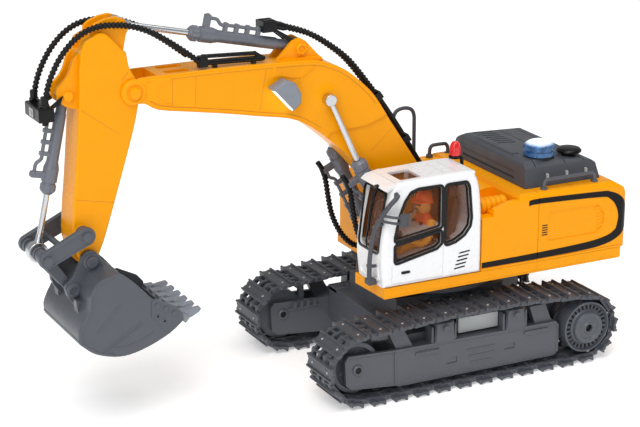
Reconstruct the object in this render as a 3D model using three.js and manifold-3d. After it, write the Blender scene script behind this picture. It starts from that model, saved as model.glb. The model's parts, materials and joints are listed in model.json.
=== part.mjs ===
// A toy tracked excavator, about 1:20, as an assembly of separate moulded and metal pieces.
// Millimetres. The slewing axis is x = 0, y = 0 and the ground is z = 0 while the pieces are made:
// -X is forward, +Y is the operator's right and +Z is up. The finished group is then moved along X
// so that its origin is under the middle of the whole machine.

import * as THREE from 'three';
import { mergeVertices } from 'three/addons/utils/BufferGeometryUtils.js';
import Module from 'manifold-3d';

const wasm = await Module();
wasm.setup();

// ---- driving dimensions ----------------------------------------------------------------------

const SLEW_AXIS_X = 94.4;          // from the middle of the machine's length back to the slewing axis
const GAP = 0.3;                   // clearance between pieces that touch or turn on each other
const WALL = 2.4;                  // wall of the moulded shells

const TRACK_GAUGE = 132.8;         // between the centre lines of the two tracks
const TRACK_WIDTH = 42.3;
const WHEELBASE = 210;             // idler axle to sprocket axle
const AXLE_Z = 30.5;
const TRACK_PITCH_RADIUS = 26;     // link pins around the idler and the sprocket
const PAD_OUT = 4.5;               // link pins to the grouser tips
const LINK_IN = 3.2;               // link pins to the inside of the links
const UPPER_RUN_Z = 61;            // link pins over the carrier brackets

const HOUSE_HALF = 71;             // half width of the upper house
const SILL_Z = [81, 90];
const SHELL_Z = 90.3;
const DECK_Z = 148;
const CAB_Y = [-73, -28.3];
const CAB_TOP = 175.5;
const SLOT_HALF = 28.3;            // half width of the slot the boom stands in

const BOOM_HALF = 16.4;
const BOOM_LOWER_HALF = 14.6;      // where the boom stands between its cylinders
const STICK_HALF = 13.4;
const BUCKET_HALF = 39;
const PIN_R = 2.5;

const BOOM_FOOT = [2, 118];
const BOOM_CYLINDER_BASE = [-40, 105];
const BOOM_CYLINDER_PIN = [-100.5, 232.5];
const BOOM_CYLINDER_Y = 21.4;
const STICK_PIVOT = [-259, 255.5];
const STICK_CYLINDER_BASE = [-119, 272.5];
const STICK_CYLINDER_PIN = [-266, 305];
const BUCKET_CYLINDER_BASE = [-308, 257];
const BUCKET_PIN = [-298, 131];
const ROCKER_PIVOT = [-303, 153];
const CRANK_PIN = [-334, 139];
const LINK_PIN = [-313, 110.5];

// ---- materials -------------------------------------------------------------------------------

function finish(color, roughness, metalness) {
  return new THREE.MeshStandardMaterial({ color, roughness, metalness });
}

const plastic = (color, roughness = 0.4) => finish(color, roughness, 0);
const metal = (color, roughness = 0.25) => finish(color, roughness, 1);
const YELLOW = 0xf5a300;
const GREY = 0x565960;
const DARK = 0x232427;
const STEEL = 0xb9bcc0;
const CHROME = 0xc8cacd;

// ---- solids ----------------------------------------------------------------------------------

// A closed geometry as a solid that can be joined and cut.
function solid(geometry) {
  const bare = new THREE.BufferGeometry();
  bare.setAttribute('position', geometry.getAttribute('position').clone());
  if (geometry.index) bare.setIndex(geometry.index.clone());
  const merged = mergeVertices(bare, 1e-4);
  const index = [];
  for (let i = 0; i < merged.index.count; i += 3) {
    const [a, b, c] = [0, 1, 2].map((k) => merged.index.getX(i + k));
    if (a !== b && b !== c && c !== a) index.push(a, b, c);
  }
  return new wasm.Manifold(new wasm.Mesh({
    numProp: 3,
    vertProperties: new Float32Array(merged.getAttribute('position').array),
    triVerts: new Uint32Array(index),
  }));
}

const join = (...parts) => parts.reduce((whole, part) => whole.add(part));
const cut = (whole, ...tools) => tools.reduce((left, tool) => left.subtract(tool), whole);

function box(x0, x1, y0, y1, z0, z1) {
  const geometry = new THREE.BoxGeometry(x1 - x0, y1 - y0, z1 - z0);
  return solid(geometry.translate((x0 + x1) / 2, (y0 + y1) / 2, (z0 + z1) / 2));
}

// A side outline of [x, z] points, pulled across from y0 to y1.
function sideSlab(points, y0, y1) {
  const shape = new THREE.Shape(points.map(([x, z]) => new THREE.Vector2(x, z)));
  const geometry = new THREE.ExtrudeGeometry(shape, { depth: y1 - y0, bevelEnabled: false });
  return solid(geometry.rotateX(Math.PI / 2).translate(0, y1, 0));
}

// A plan outline of [x, y] points, pulled up from z0 to z1.
function planSlab(points, z0, z1) {
  const shape = new THREE.Shape(points.map(([x, y]) => new THREE.Vector2(x, y)));
  const geometry = new THREE.ExtrudeGeometry(shape, { depth: z1 - z0, bevelEnabled: false });
  return solid(geometry.translate(0, 0, z0));
}

// An end outline of [y, z] points, pulled along from x0 to x1.
function endSlab(points, x0, x1) {
  const shape = new THREE.Shape(points.map(([y, z]) => new THREE.Vector2(y, z)));
  const geometry = new THREE.ExtrudeGeometry(shape, { depth: x1 - x0, bevelEnabled: false });
  return solid(geometry.rotateX(Math.PI / 2).rotateZ(Math.PI / 2).translate(x0, 0, 0));
}

// A round bar across the machine, centred on the side point [x, z].
function crossBar([x, z], radius, y0, y1, sides = 12) {
  const geometry = new THREE.CylinderGeometry(radius, radius, y1 - y0, sides);
  return solid(geometry.translate(x, (y0 + y1) / 2, z));
}

// An upright round bar or cone on the plan point [x, y].
function upright([x, y], radiusLow, z0, z1, radiusHigh = radiusLow, sides = 16) {
  const geometry = new THREE.CylinderGeometry(radiusHigh, radiusLow, z1 - z0, sides);
  return solid(geometry.rotateX(Math.PI / 2).translate(x, y, (z0 + z1) / 2));
}

// A round bar between two points in the plane at y.
function bar([x0, z0], [x1, z1], y, radius, sides = 12) {
  const from = new THREE.Vector3(x0, y, z0);
  const along = new THREE.Vector3(x1, y, z1).sub(from);
  const geometry = new THREE.CylinderGeometry(radius, radius, along.length(), sides);
  geometry.translate(0, along.length() / 2, 0);
  const turn = new THREE.Quaternion().setFromUnitVectors(new THREE.Vector3(0, 1, 0), along.normalize());
  return solid(geometry.applyQuaternion(turn).translate(from.x, from.y, from.z));
}

// A hose or rail: a round section along a smooth route of [x, y, z] points.
function tube(points, radius, { sides = 8, steps = 40, tension = 0.5 } = {}) {
  const places = points.map((p) => new THREE.Vector3(...p));
  const route = new THREE.CatmullRomCurve3(places, false, 'catmullrom', tension);
  const ring = [];
  for (let i = 0; i < sides; i += 1) {
    const angle = (2 * Math.PI * i) / sides;
    ring.push(new THREE.Vector2(radius * Math.cos(angle), radius * Math.sin(angle)));
  }
  return solid(new THREE.ExtrudeGeometry(new THREE.Shape(ring), { steps, extrudePath: route }));
}

// The points of an arc about a centre, angles in degrees.
function arc([cx, cz], radius, fromDeg, toDeg, count) {
  return Array.from({ length: count + 1 }, (_, i) => {
    const angle = THREE.MathUtils.degToRad(fromDeg + ((toDeg - fromDeg) * i) / count);
    return [cx + radius * Math.cos(angle), cz + radius * Math.sin(angle)];
  });
}

// An outline moved inwards by a distance; the outline runs anticlockwise.
function inset(points, distance) {
  return points.map((p, i) => {
    const before = points[(i + points.length - 1) % points.length];
    const after = points[(i + 1) % points.length];
    const a = new THREE.Vector2(p[0] - before[0], p[1] - before[1]).normalize();
    const b = new THREE.Vector2(after[0] - p[0], after[1] - p[1]).normalize();
    const middle = new THREE.Vector2(-a.y - b.y, a.x + b.x).normalize();
    const scale = distance / Math.max(0.4, middle.x * -a.y + middle.y * a.x);
    return [p[0] + middle.x * scale, p[1] + middle.y * scale];
  });
}

function anticlockwise(points) {
  const flat = points.map(([x, z]) => new THREE.Vector2(x, z));
  return THREE.ShapeUtils.isClockWise(flat) ? [...points].reverse() : points;
}

// The point at a distance from one side point towards another.
function towards([x0, z0], [x1, z1], distance) {
  const length = Math.hypot(x1 - x0, z1 - z0);
  return [x0 + ((x1 - x0) * distance) / length, z0 + ((z1 - z0) * distance) / length];
}

const machine = new THREE.Group();
machine.position.x = SLEW_AXIS_X;

function place(name, material, body) {
  const { vertProperties, triVerts, numProp } = body.getMesh();
  const geometry = new THREE.BufferGeometry();
  const count = vertProperties.length / numProp;
  const positions = new Float32Array(count * 3);
  for (let i = 0; i < count; i += 1) {
    for (let k = 0; k < 3; k += 1) positions[3 * i + k] = vertProperties[numProp * i + k];
  }
  geometry.setAttribute('position', new THREE.BufferAttribute(positions, 3));
  geometry.setIndex(new THREE.BufferAttribute(new Uint32Array(triVerts), 1));
  geometry.computeVertexNormals();
  const mesh = new THREE.Mesh(geometry, material);
  mesh.name = name;
  machine.add(mesh);
}

const SIDES = [['left', -1], ['right', 1]];
// The span from a to b off the middle plane, on the side given by the sign.
const span = (sign, a, b) => (sign < 0 ? [-b, -a] : [a, b]);

// ---- undercarriage ---------------------------------------------------------------------------

const CHASSIS = { x: [-50, 50], y: [-40, 40], z: [16, 66] };
const RING_RADIUS = 56;

function chassisFrame() {
  const { x, y, z } = CHASSIS;
  const beam = (x0) => box(x0, x0 + 30, -53.7, 53.7, 22, 50);
  const pedestal = upright([0, 0], 38, z[1], 72);
  const ring = upright([0, 0], RING_RADIUS, 70, 75, RING_RADIUS, 24);
  const body = join(box(...x, ...y, ...z), beam(-62), beam(32), pedestal, ring);
  const inside = box(x[0] + 3, x[1] - 3, y[0] + 3, y[1] - 3, z[0] - 1, z[1] - 3);
  const shaftHole = upright([0, 0], 9, z[1] - 10, 80);
  const switchSlot = box(x[1] - 4, x[1] + 1, -6, 6, 53, 59);
  return cut(body, inside, shaftHole, switchSlot);
}

function powerSwitch() {
  const { x } = CHASSIS;
  const slider = box(x[1] - 6, x[1] - 3.3, -9.6, 3.6, 51.5, 60.5);
  return join(slider, box(x[1] - 3.5, x[1] + 2, -5.6, -0.6, 53.4, 58.6));
}

function batteryPack() {
  const cells = [-1.5, -0.5, 0.5, 1.5].map((place) => batteryCell(place * 17.4));
  return join(...cells, box(-35, 35, -34, 34, 19.5, 23));
}

// One battery cell lying along the machine.
function batteryCell(y) {
  const geometry = new THREE.CylinderGeometry(9, 9, 66, 16);
  return solid(geometry.rotateZ(Math.PI / 2).translate(0, y, 30));
}

function batteryDoor() {
  const { x, y, z } = CHASSIS;
  return box(x[0] + 3.3, x[1] - 3.3, y[0] + 3.3, y[1] - 3.3, z[0], z[0] + 2.4);
}

// The closed path of the link pins in side view, moved outwards by a distance.
function trackPath(offset) {
  const radius = TRACK_PITCH_RADIUS + offset;
  const front = arc([-WHEELBASE / 2, AXLE_Z], radius, 90, 270, 12);
  const rear = arc([WHEELBASE / 2, AXLE_Z], radius, -90, 90, 12);
  return [...rear, [44, UPPER_RUN_Z + offset], [-30, UPPER_RUN_Z + offset], ...front];
}

function track(sign) {
  const across = span(sign, (TRACK_GAUGE - TRACK_WIDTH) / 2, (TRACK_GAUGE + TRACK_WIDTH) / 2);
  const inner = [across[0] - 1, across[1] + 1];
  return cut(sideSlab(trackPath(PAD_OUT), ...across), sideSlab(trackPath(-LINK_IN), ...inner));
}

const IDLER_AXLE = [-WHEELBASE / 2, AXLE_Z];
const SPROCKET_AXLE = [WHEELBASE / 2, AXLE_Z];
const IDLER_R = 20.9;
const SPROCKET_R = 21.7;
const FRAME_OUT = 78.2;

function trackFrame(sign) {
  const outline = [[-69, 9], [76, 9], [81, 12], [81, 35], [78, 38.5], [-69, 40]];
  const nose = [[-69, 10], [-110, 14], [-115, 18], [-116, 38], [-113, 42], [-69, 40]];
  const tail = [[60, 14], [112, 14], [118, 22], [118, 40], [112, 46], [60, 46]];
  const bracket = (x0) => sideSlab([[x0, 38], [x0 + 18, 38], [x0 + 17, 56], [x0 + 1, 56]],
    ...span(sign, 70, FRAME_OUT));
  const fin = (points) => sideSlab(points, ...span(sign, 69, 75.5));
  const body = join(
    sideSlab(outline, ...span(sign, 54, FRAME_OUT)),
    sideSlab(nose, ...span(sign, 74.9, FRAME_OUT)),
    sideSlab(nose, ...span(sign, 54, 57.2)),
    sideSlab(tail, ...span(sign, 54, 57.2)),
    sideSlab([[-60, 38], [70, 38], [66, 46], [-56, 46]], ...span(sign, 54, 66)),
    bracket(-36),
    bracket(30),
    fin([[-69, 39], [-54, 39], [-62, 53.5], [-76, 53.5]]),
    fin([[60, 37], [76, 37], [69, 54], [54, 54]]),
  );
  const axleHole = crossBar(IDLER_AXLE, 3 + GAP, ...span(sign, 50, 80));
  const hubHole = crossBar(SPROCKET_AXLE, 3 + GAP, ...span(sign, 50, 60));
  return cut(body, axleHole, hubHole);
}

function idler(sign) {
  return join(
    crossBar(IDLER_AXLE, IDLER_R, ...span(sign, 58, 74.6), 20),
    crossBar(IDLER_AXLE, 3, ...span(sign, 54, FRAME_OUT)),
  );
}

function sprocket(sign) {
  return join(
    crossBar(SPROCKET_AXLE, SPROCKET_R, ...span(sign, 58, 84), 20),
    crossBar(SPROCKET_AXLE, SPROCKET_R - 4, ...span(sign, 84, 87), 16),
    crossBar(SPROCKET_AXLE, 3, ...span(sign, 50, 58)),
  );
}

function driveMotor(sign) {
  const body = join(
    crossBar(SPROCKET_AXLE, 15, ...span(sign, 45, 53.7), 16),
    sideSlab([[70, 20], [108, 20], [108, 41], [70, 41]], ...span(sign, 42, 53.7)),
  );
  return cut(body, crossBar(SPROCKET_AXLE, 3 + GAP, ...span(sign, 48, 60)));
}

// ---- upper house -----------------------------------------------------------------------------

const TAIL_X = 143;

// The rear of the house in plan: a shallow curve with rounded corners.
function rearCurve(half, bulge) {
  const points = [];
  const count = 10;
  for (let i = 0; i <= count; i += 1) {
    const y = half * Math.sin(((i / count) * 2 - 1) * (Math.PI / 2));
    const x = TAIL_X + bulge * Math.sqrt(Math.max(0, 1 - (Math.abs(y) / half) ** 8));
    points.push([x, y]);
  }
  return points;
}

function floorOutline(half, inward) {
  return [
    [-78 + inward, -half], ...rearCurve(half, 6 - inward), [-45 + inward, half],
    [-45 + inward, -26.5 - inward], [-80 + inward, -26.5 - inward],
  ];
}

function houseFloor() {
  const tray = cut(
    planSlab(floorOutline(HOUSE_HALF, 0), ...SILL_Z),
    planSlab(floorOutline(HOUSE_HALF - 3, 3), SILL_Z[0] + 3, SILL_Z[1] + 1),
    upright([0, 0], 9, 70, 100),
  );
  const hub = cut(upright([0, 0], 30, 75.3, SILL_Z[0] + 1), upright([0, 0], 9, 70, 100));
  const lug = (sign) => join(
    sideSlab([...arc(BOOM_FOOT, 10, 0, 180, 8), [-12, SILL_Z[0]], [20, SILL_Z[0]]], ...span(sign, 15, 18)),
    sideSlab([...arc(BOOM_CYLINDER_BASE, 6, 0, 180, 8), [-46, SILL_Z[0]], [-34, SILL_Z[0]]],
      ...span(sign, 24.2, 27.8)),
    crossBar(BOOM_CYLINDER_BASE, PIN_R, ...span(sign, 18.2, 26)),
  );
  const body = join(tray, hub, lug(-1), lug(1));
  return cut(body, crossBar(BOOM_FOOT, PIN_R + GAP, -30, 30));
}

// A pin through two cheeks with a hexagonal head on each end.
function headedPin(centre, half, headRadius, headFrom, headTo) {
  const head = (sign) => crossBar(centre, headRadius, ...span(sign, headFrom, headTo), 6);
  return join(crossBar(centre, PIN_R, -half, half), head(-1), head(1));
}

// Side outline of the rear cover, from the cab's back to the tail.
const SHELL_SIDE = [
  [9.6, SHELL_Z], [149, SHELL_Z], [152.5, 104], [153, 117], [150.5, 130], [144, 142], [134, DECK_Z],
  [46, DECK_Z], [44, 144.3], [35, 144.3], [9.6, 137],
];
const RIGHT_SIDE = [[-45, SHELL_Z], [47, SHELL_Z], [47, 146], [-32, 146], [-41, 140], [-45, 130]];

const SHOULDER_Z = 144.3;
const SHOULDERS = [
  [-HOUSE_HALF, SHELL_Z], [HOUSE_HALF, SHELL_Z], [HOUSE_HALF, SHOULDER_Z], [HOUSE_HALF - 6, DECK_Z],
  [-HOUSE_HALF + 6, DECK_Z], [-HOUSE_HALF, SHOULDER_Z],
];

function houseShell() {
  const plan = [[-60, -HOUSE_HALF], ...rearCurve(HOUSE_HALF, 10), [-60, HOUSE_HALF]];
  const innerHalf = HOUSE_HALF - WALL;
  const innerPlan = [[-60, -innerHalf], ...rearCurve(innerHalf, 7), [-60, innerHalf]];
  const rear = sideSlab(SHELL_SIDE, -80, 80)
    .intersect(planSlab(plan, 80, 160))
    .intersect(endSlab(SHOULDERS, 0, 160));
  const right = sideSlab(RIGHT_SIDE, SLOT_HALF, HOUSE_HALF);
  const rearInside = sideSlab(inset(anticlockwise(SHELL_SIDE), WALL), -80, 80)
    .intersect(planSlab(innerPlan, 80, 160));
  const rightInside = sideSlab(inset(anticlockwise(RIGHT_SIDE), WALL), SLOT_HALF + WALL, innerHalf);
  const slot = box(5, 30, -SLOT_HALF, SLOT_HALF, 80, 160);
  const slotLining = box(5, 30 + WALL, -SLOT_HALF - WALL, SLOT_HALF + WALL, 80, 160)
    .intersect(sideSlab(SHELL_SIDE, -60, 60));
  const recess = box(5, 44, -HOUSE_HALF + 4, -SLOT_HALF - WALL - 0.5, 134, 160);
  const recessLining = box(9.6, 46, -HOUSE_HALF + 1, -SLOT_HALF, 131.5, 144);
  const bottom = (x0, x1, y0, y1) => box(x0, x1, y0, y1, SHELL_Z - 1, SHELL_Z + WALL + 1);
  const hollow = cut(join(rear, right), rearInside, rightInside,
    bottom(14, 128, -innerHalf, innerHalf), bottom(-42, 14, SLOT_HALF + WALL, innerHalf),
    box(-30, 60, SLOT_HALF + WALL, innerHalf, SHELL_Z - 1, 130));
  const lined = join(hollow, slotLining, recessLining);
  const filter = filterCanister();
  const upperCut = box(5, 44, -HOUSE_HALF + 4, -SLOT_HALF - WALL, 137, 160);
  return join(cut(lined, slot, recess, upperCut), filter);
}

// The pleated filter moulded on the low deck behind the cab.
function filterCanister() {
  const geometry = new THREE.CylinderGeometry(6.5, 6.5, 24, 20);
  return solid(geometry.rotateZ(Math.PI / 2).translate(27, -56, 139.5));
}

function hood() {
  const side = [[57, DECK_Z + GAP], [129, DECK_Z + GAP], [126.5, 161], [122, 164], [66, 168.5], [60, 166]];
  const across = [[-58, DECK_Z], [58, DECK_Z], [54, 163], [46, 168.5], [0, 171], [-46, 168.5], [-54, 163]];
  const outer = sideSlab(side, -60, 60).intersect(endSlab(across, 40, 140));
  const inner = sideSlab(inset(anticlockwise(side), WALL), -60, 60)
    .intersect(endSlab(inset(anticlockwise(across), WALL), 40, 140));
  const mouth = box(60, 126, -55, 55, DECK_Z - 1, DECK_Z + WALL + 1);
  return cut(outer, inner, mouth);
}

function circuitBoard() {
  const board = box(50, 110, -30, 30, 96, 97.6);
  const receiver = box(60, 80, -12, 12, 97.4, 102);
  const capacitor = box(90, 100, -20, -8, 97.4, 108);
  return join(board, receiver, capacitor);
}

function slewMotor() {
  return join(upright([62, 0], 14, 84.3, 95.5), box(36, 62, -12, 12, 84.3, 94));
}

// ---- cab -------------------------------------------------------------------------------------

const CAB_SIDE = [
  [-79, SHELL_Z], [8.6, SHELL_Z], [8.6, 120], [8, 145], [5.5, 164], [2, 172.5], [-4, CAB_TOP],
  [-62, CAB_TOP - 1], [-68, 173], [-71.5, 169], [-74, 161], [-78, 142], [-80.5, 125], [-81, 109],
];
const FRONT_WINDOW = [[-70, 127.5], [-70, 131], [-66, 148], [-61.5, 159], [-56.5, 165.5], [-50, 167.5],
  [-28.5, 167.5], [-28.5, 133.5]];
const LOWER_WINDOW = [[-70, 124.5], [-28.5, 131], [-28.5, 120.5], [-33, 117], [-70, 109.5]];
const REAR_WINDOW = [[-25.5, 167.5], [-6.5, 167.5], [-4.5, 163], [-2, 138], [-3, 131], [-8, 124.5],
  [-16, 120], [-25.5, 118]];
const SIDE_WINDOWS = [FRONT_WINDOW, LOWER_WINDOW, REAR_WINDOW];

function cabShell() {
  const inner = sideSlab(inset(anticlockwise(CAB_SIDE), 2), CAB_Y[0] + 2, CAB_Y[1] - 2);
  const mouth = box(-76, 6.6, CAB_Y[0] + 2, CAB_Y[1] - 2, SHELL_Z - 1, SHELL_Z + 3);
  const windows = SIDE_WINDOWS.map((points) => sideSlab(points, CAB_Y[0] - 1, CAB_Y[1] + 1));
  const windscreen = box(-90, -64, CAB_Y[0] + 7, CAB_Y[1] - 6, 117, 168);
  const sunroof = box(-62, -43, CAB_Y[0] + 6, CAB_Y[1] - 14, 165, 180);
  return cut(sideSlab(CAB_SIDE, ...CAB_Y), inner, mouth, ...windows, windscreen, sunroof);
}

function cabGlazing() {
  const y = [CAB_Y[0] + 2 + GAP, CAB_Y[1] - 2 - GAP];
  const outer = sideSlab(inset(anticlockwise(CAB_SIDE), 2 + GAP), ...y);
  const inner = sideSlab(inset(anticlockwise(CAB_SIDE), 3.2 + GAP), y[0] + 1.2, y[1] - 1.2);
  return cut(outer, inner, box(-90, 20, ...CAB_Y, 80, 106), box(-1, 20, ...CAB_Y, 80, 180));
}

const SEAT_Y = -50.5;

function cabSeat() {
  const y = (half) => [SEAT_Y - half, SEAT_Y + half];
  return join(
    sideSlab([[-48, 84.3], [-16, 84.3], [-14, 108], [-50, 112]], ...y(12)),
    sideSlab([[-22, 100], [-12, 100], [-6, 132], [-4, 162], [-9, 163], [-13, 134], [-18, 112]], ...y(11)),
  );
}

const DRIVER_TRUNK = [
  [-38, 113.5], [-21, 113], [-17.5, 120], [-21, 135], [-30, 139], [-38, 134], [-41, 120],
];

function driverFigure() {
  const y = (half) => [SEAT_Y - half, SEAT_Y + half];
  const head = solid(new THREE.SphereGeometry(7.2, 8, 6).translate(-31, SEAT_Y, 145.5));
  const helmet = solid(new THREE.SphereGeometry(8.8, 10, 6).translate(-31, SEAT_Y, 149.5));
  const limb = (a, b, dy, r) => bar(a, b, SEAT_Y + dy, r, 6);
  return join(
    sideSlab(DRIVER_TRUNK, ...y(10.5)),
    head,
    cut(helmet, box(-50, 0, -80, -20, 130, 148)),
    limb([-29, 134], [-37, 119], -11, 3.6),
    limb([-29, 134], [-37, 119], 11, 3.6),
    limb([-37, 119], [-52, 122], -11, 3),
    limb([-37, 119], [-52, 122], 11, 3),
    limb([-27, 117.5], [-56, 116.5], -5.5, 4.4),
    limb([-27, 117.5], [-56, 116.5], 5.5, 4.4),
    limb([-56, 116.5], [-60, 97], -5.5, 3.6),
    limb([-56, 116.5], [-60, 97], 5.5, 3.6),
  );
}

function controlConsole() {
  const deck = sideSlab([[-73, 84.3], [-64.5, 84.3], [-64.5, 112], [-68, 121], [-73, 121]],
    CAB_Y[0] + 5, CAB_Y[1] - 5);
  const lever = (y) => bar([-68, 118], [-62, 130], y, 1.6, 8);
  return join(deck, lever(SEAT_Y - 14), lever(SEAT_Y + 14));
}

function cabHandrail() {
  return tube([[-84.5, -60, 93.5], [-86.5, -62, 97], [-87, -63, 111], [-86.5, -65, 125], [-85, -68, 139],
    [-82, -73, 150], [-80, -76.5, 156], [-77, -78.5, 161], [-72, -78, 165], [-70.5, -74.6, 167]], 2.1,
  { sides: 6, steps: 18 });
}

function cabMirror() {
  const glass = box(-70, -63, -82.5, -78.3, 142, 152);
  return join(glass, bar([-78.6, 150], [-68, 148], -80.4, 1.4, 8));
}

function wiper() {
  const knob = new THREE.CylinderGeometry(2.4, 2.4, 4, 12).rotateZ(Math.PI / 2).translate(-78.5, -57, 170.5);
  const arm = [[-80.8, -57, 170.5], [-83.6, -56.5, 146.2], [-82.6, -56, 122]];
  return join(solid(knob), tube(arm, 1, { sides: 6, steps: 8 }));
}

// ---- house fittings --------------------------------------------------------------------------

const bentRail = (points, radius = 1.5) => tube(points, radius, { sides: 6, steps: 18, tension: 0.2 });

function sideRail() {
  return bentRail([[71, -64, 148.4], [71, -64, 151], [72.5, -64, 154.5], [76, -64, 155.5], [95, -64, 155.5],
    [114.5, -64, 155.5], [118, -64, 154.5], [119.5, -64, 151], [119.5, -64, 148.4]]);
}

function hoopRail() {
  return bentRail([[-14, 33, 146.4], [-14, 33, 186], [-12, 33, 196.5], [-8, 33, 201], [0, 33, 201],
    [4, 33, 196.5], [6, 33, 186], [6, 33, 146.4]], 1.6);
}

function frontRail() {
  return bentRail([[38, 62, 146.4], [38, 62, 151.5], [39.5, 62, 155], [43, 62, 156.5], [51, 62, 156.5],
    [54.5, 62, 155], [56, 62, 151.5], [56, 62, 148.4]], 1.6);
}

const RED_BEACON = [6, -33];

function redBeacon() {
  const [x, y] = RED_BEACON;
  const foot = [x + 6.5, y];
  return join(
    upright(foot, 1.4, 164, 176, 1.4, 10),
    box(x + 3.9, x + 7.5, y - 1.4, y + 1.4, 164, 166),
    box(x, x + 7.5, y - 1.4, y + 1.4, 175.6, 177.2),
    upright(RED_BEACON, 5, 175.6, 177.8),
    upright(RED_BEACON, 3.9, 177.6, 189.4, 3.4, 20),
  );
}

const BLUE_BEACON = [83, -37];
const EXHAUST = [112, -37];

function blueBeacon() {
  return join(
    upright(BLUE_BEACON, 13, 168.8, 172.5),
    upright(BLUE_BEACON, 13, 172.3, 177, 12),
    upright(BLUE_BEACON, 10.5, 176.8, 181.5, 6),
  );
}

function exhaustCap() {
  return join(upright(EXHAUST, 7, 165.8, 168.2), upright(EXHAUST, 10.5, 168, 171.5, 9.5));
}

// ---- boom ------------------------------------------------------------------------------------

const BOOM_SIDE = anticlockwise([
  ...arc(STICK_PIVOT, 10, 70, 250, 6),
  [-251, 246], [-240, 240], [-212, 235], [-183, 230], [-158, 225], [-132, 220], [-115, 212], [-98, 199],
  [-77, 180], [-52, 152], [-28, 128], [-8, 110],
  ...arc(BOOM_FOOT, 12, 230, 394, 6),
  [-21, 174], [-43, 207], [-58, 230], [-72, 244], [-85, 254], [-98, 260], [-108, 263], [-124, 264.5],
  [-182, 266], [-247, 266],
]);
const CYLINDER_EARS = [
  [-142, 262], [-130, 274], [-126, 279], [-119, 280.5], [-114, 277.5], [-110, 273], [-96, 258],
];
const FORK_X = -240;
const BOOM_WAIST = [[-120, 160], [-97, 205], [-64, 207], [-40, 216], [40, 200], [40, 90], [-60, 90]];

function boomHalf(sign) {
  const outer = sideSlab(BOOM_SIDE, ...span(sign, 0.15, BOOM_HALF));
  const pocket = sideSlab(inset(BOOM_SIDE, WALL), ...span(sign, 0, BOOM_HALF - WALL));
  const forkGap = box(-290, FORK_X, ...span(sign, 0, STICK_HALF + GAP), 225, 290);
  const ear = sideSlab(CYLINDER_EARS, ...span(sign, 4.6, 8.2));
  const boss = crossBar(BOOM_CYLINDER_PIN, 9, ...span(sign, BOOM_HALF - 1, BOOM_HALF + 0.9), 16);
  const footTube = crossBar(BOOM_FOOT, 7, ...span(sign, 0.15, BOOM_LOWER_HALF - 1));
  const seat = sideSlab([[-145, 242], [-128, 242], [-128, 262], [-145, 262]], ...span(sign, 4.6, 14));
  const waist = sideSlab(BOOM_WAIST, ...span(sign, BOOM_LOWER_HALF, BOOM_HALF + 1));
  const lining = sideSlab(inset(BOOM_SIDE, 0.6), ...span(sign, BOOM_LOWER_HALF - WALL, BOOM_LOWER_HALF))
    .intersect(sideSlab(BOOM_WAIST, -20, 20));
  const body = join(cut(join(cut(outer, pocket), lining), waist, forkGap), ear, boss, footTube, seat);
  return cut(body,
    crossBar(BOOM_FOOT, PIN_R + GAP, -30, 30),
    crossBar(STICK_PIVOT, PIN_R + GAP, -30, 30),
    crossBar(STICK_CYLINDER_BASE, 2 + GAP, -30, 30));
}

function workLight() {
  const lamp = [[-148, 245], [-137, 252], [-127, 244], [-125, 237], [-132, 228], [-146, 240]];
  return sideSlab(lamp, -25.5, -BOOM_HALF - GAP);
}

function hoseGuard() {
  const side = [[-203.5, 270], [-202.5, 276.6], [-159, 274.6], [-150, 269], [-151, 266.3], [-199, 266.3]];
  const passage = [[-200.6, 273.8], [-160, 272], [-155.5, 268.9], [-199.4, 268.9]];
  return cut(sideSlab(side, -15, -6.8), sideSlab(passage, -20, 0));
}

// ---- stick -----------------------------------------------------------------------------------

const STICK_SIDE = anticlockwise([
  ...arc(BUCKET_PIN, 6.6, 180, 360, 6),
  [-285, 145], [-273, 182], [-259, 227],
  ...arc(STICK_PIVOT, 8, -50, 50, 5),
  [-261, 274], [-263, 285], [-266, 288], [-277, 300], [-283, 302], [-288, 300], [-298, 290], [-302, 240],
  [-306, 195], [-309, 168], [-310, 145],
]);
const TOP_EARS = [
  [-290, 294], [-289, 305], [-285, 308], [-277, 311], [-269, 312], [-264, 310], [-260, 306],
  [-259, 302], [-261, 298], [-264, 284], [-275, 284],
];
const FRONT_EARS = [
  [-297, 290], [-303, 284], [-306, 275], [-309, 270], [-313, 266], [-316, 264], [-317, 260],
  [-316, 255], [-314, 252], [-309, 248.5], [-299, 245],
];

function stickHalf(sign) {
  const outer = sideSlab(STICK_SIDE, ...span(sign, 0.15, STICK_HALF));
  const pocket = sideSlab(inset(STICK_SIDE, WALL), ...span(sign, 0, STICK_HALF - WALL));
  const bosses = [BUCKET_PIN, ROCKER_PIVOT, STICK_PIVOT].map((p, i) =>
    crossBar(p, [6, 5, 6][i], ...span(sign, 0.15, STICK_HALF - 1)));
  const body = join(cut(outer, pocket), ...bosses, sideSlab(TOP_EARS, ...span(sign, 4.6, 8.2)),
    sideSlab(FRONT_EARS, ...span(sign, 4.6, 8.2)));
  return cut(body,
    crossBar(STICK_PIVOT, PIN_R + GAP, -30, 30),
    crossBar(BUCKET_PIN, PIN_R + GAP, -30, 30),
    crossBar(ROCKER_PIVOT, PIN_R + GAP, -30, 30),
    box(-303, -250, -4.3, 4.3, 289, 320));
}

// ---- cylinders -------------------------------------------------------------------------------

// Barrel from its base eye, bored from the open end for its rod.
function barrel({ base, pin, y, radius, length, rodRadius, neck, eyeRadius, eyeHalf, eyeHole }) {
  const tail = towards(base, pin, neck);
  const end = towards(base, pin, length);
  const body = join(
    bar(tail, end, y, radius, 14),
    bar(towards(base, pin, eyeRadius - 1.5), towards(base, pin, neck + 1), y, eyeHalf - GAP, 12),
    crossBar(base, eyeRadius, y - eyeHalf, y + eyeHalf, 12),
  );
  const bore = bar(towards(base, pin, neck + 3), towards(base, pin, length + 2), y, rodRadius + GAP, 12);
  const tools = eyeHole ? [crossBar(base, eyeHole, y - 20, y + 20)] : [];
  return cut(body, bore, ...tools);
}

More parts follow.
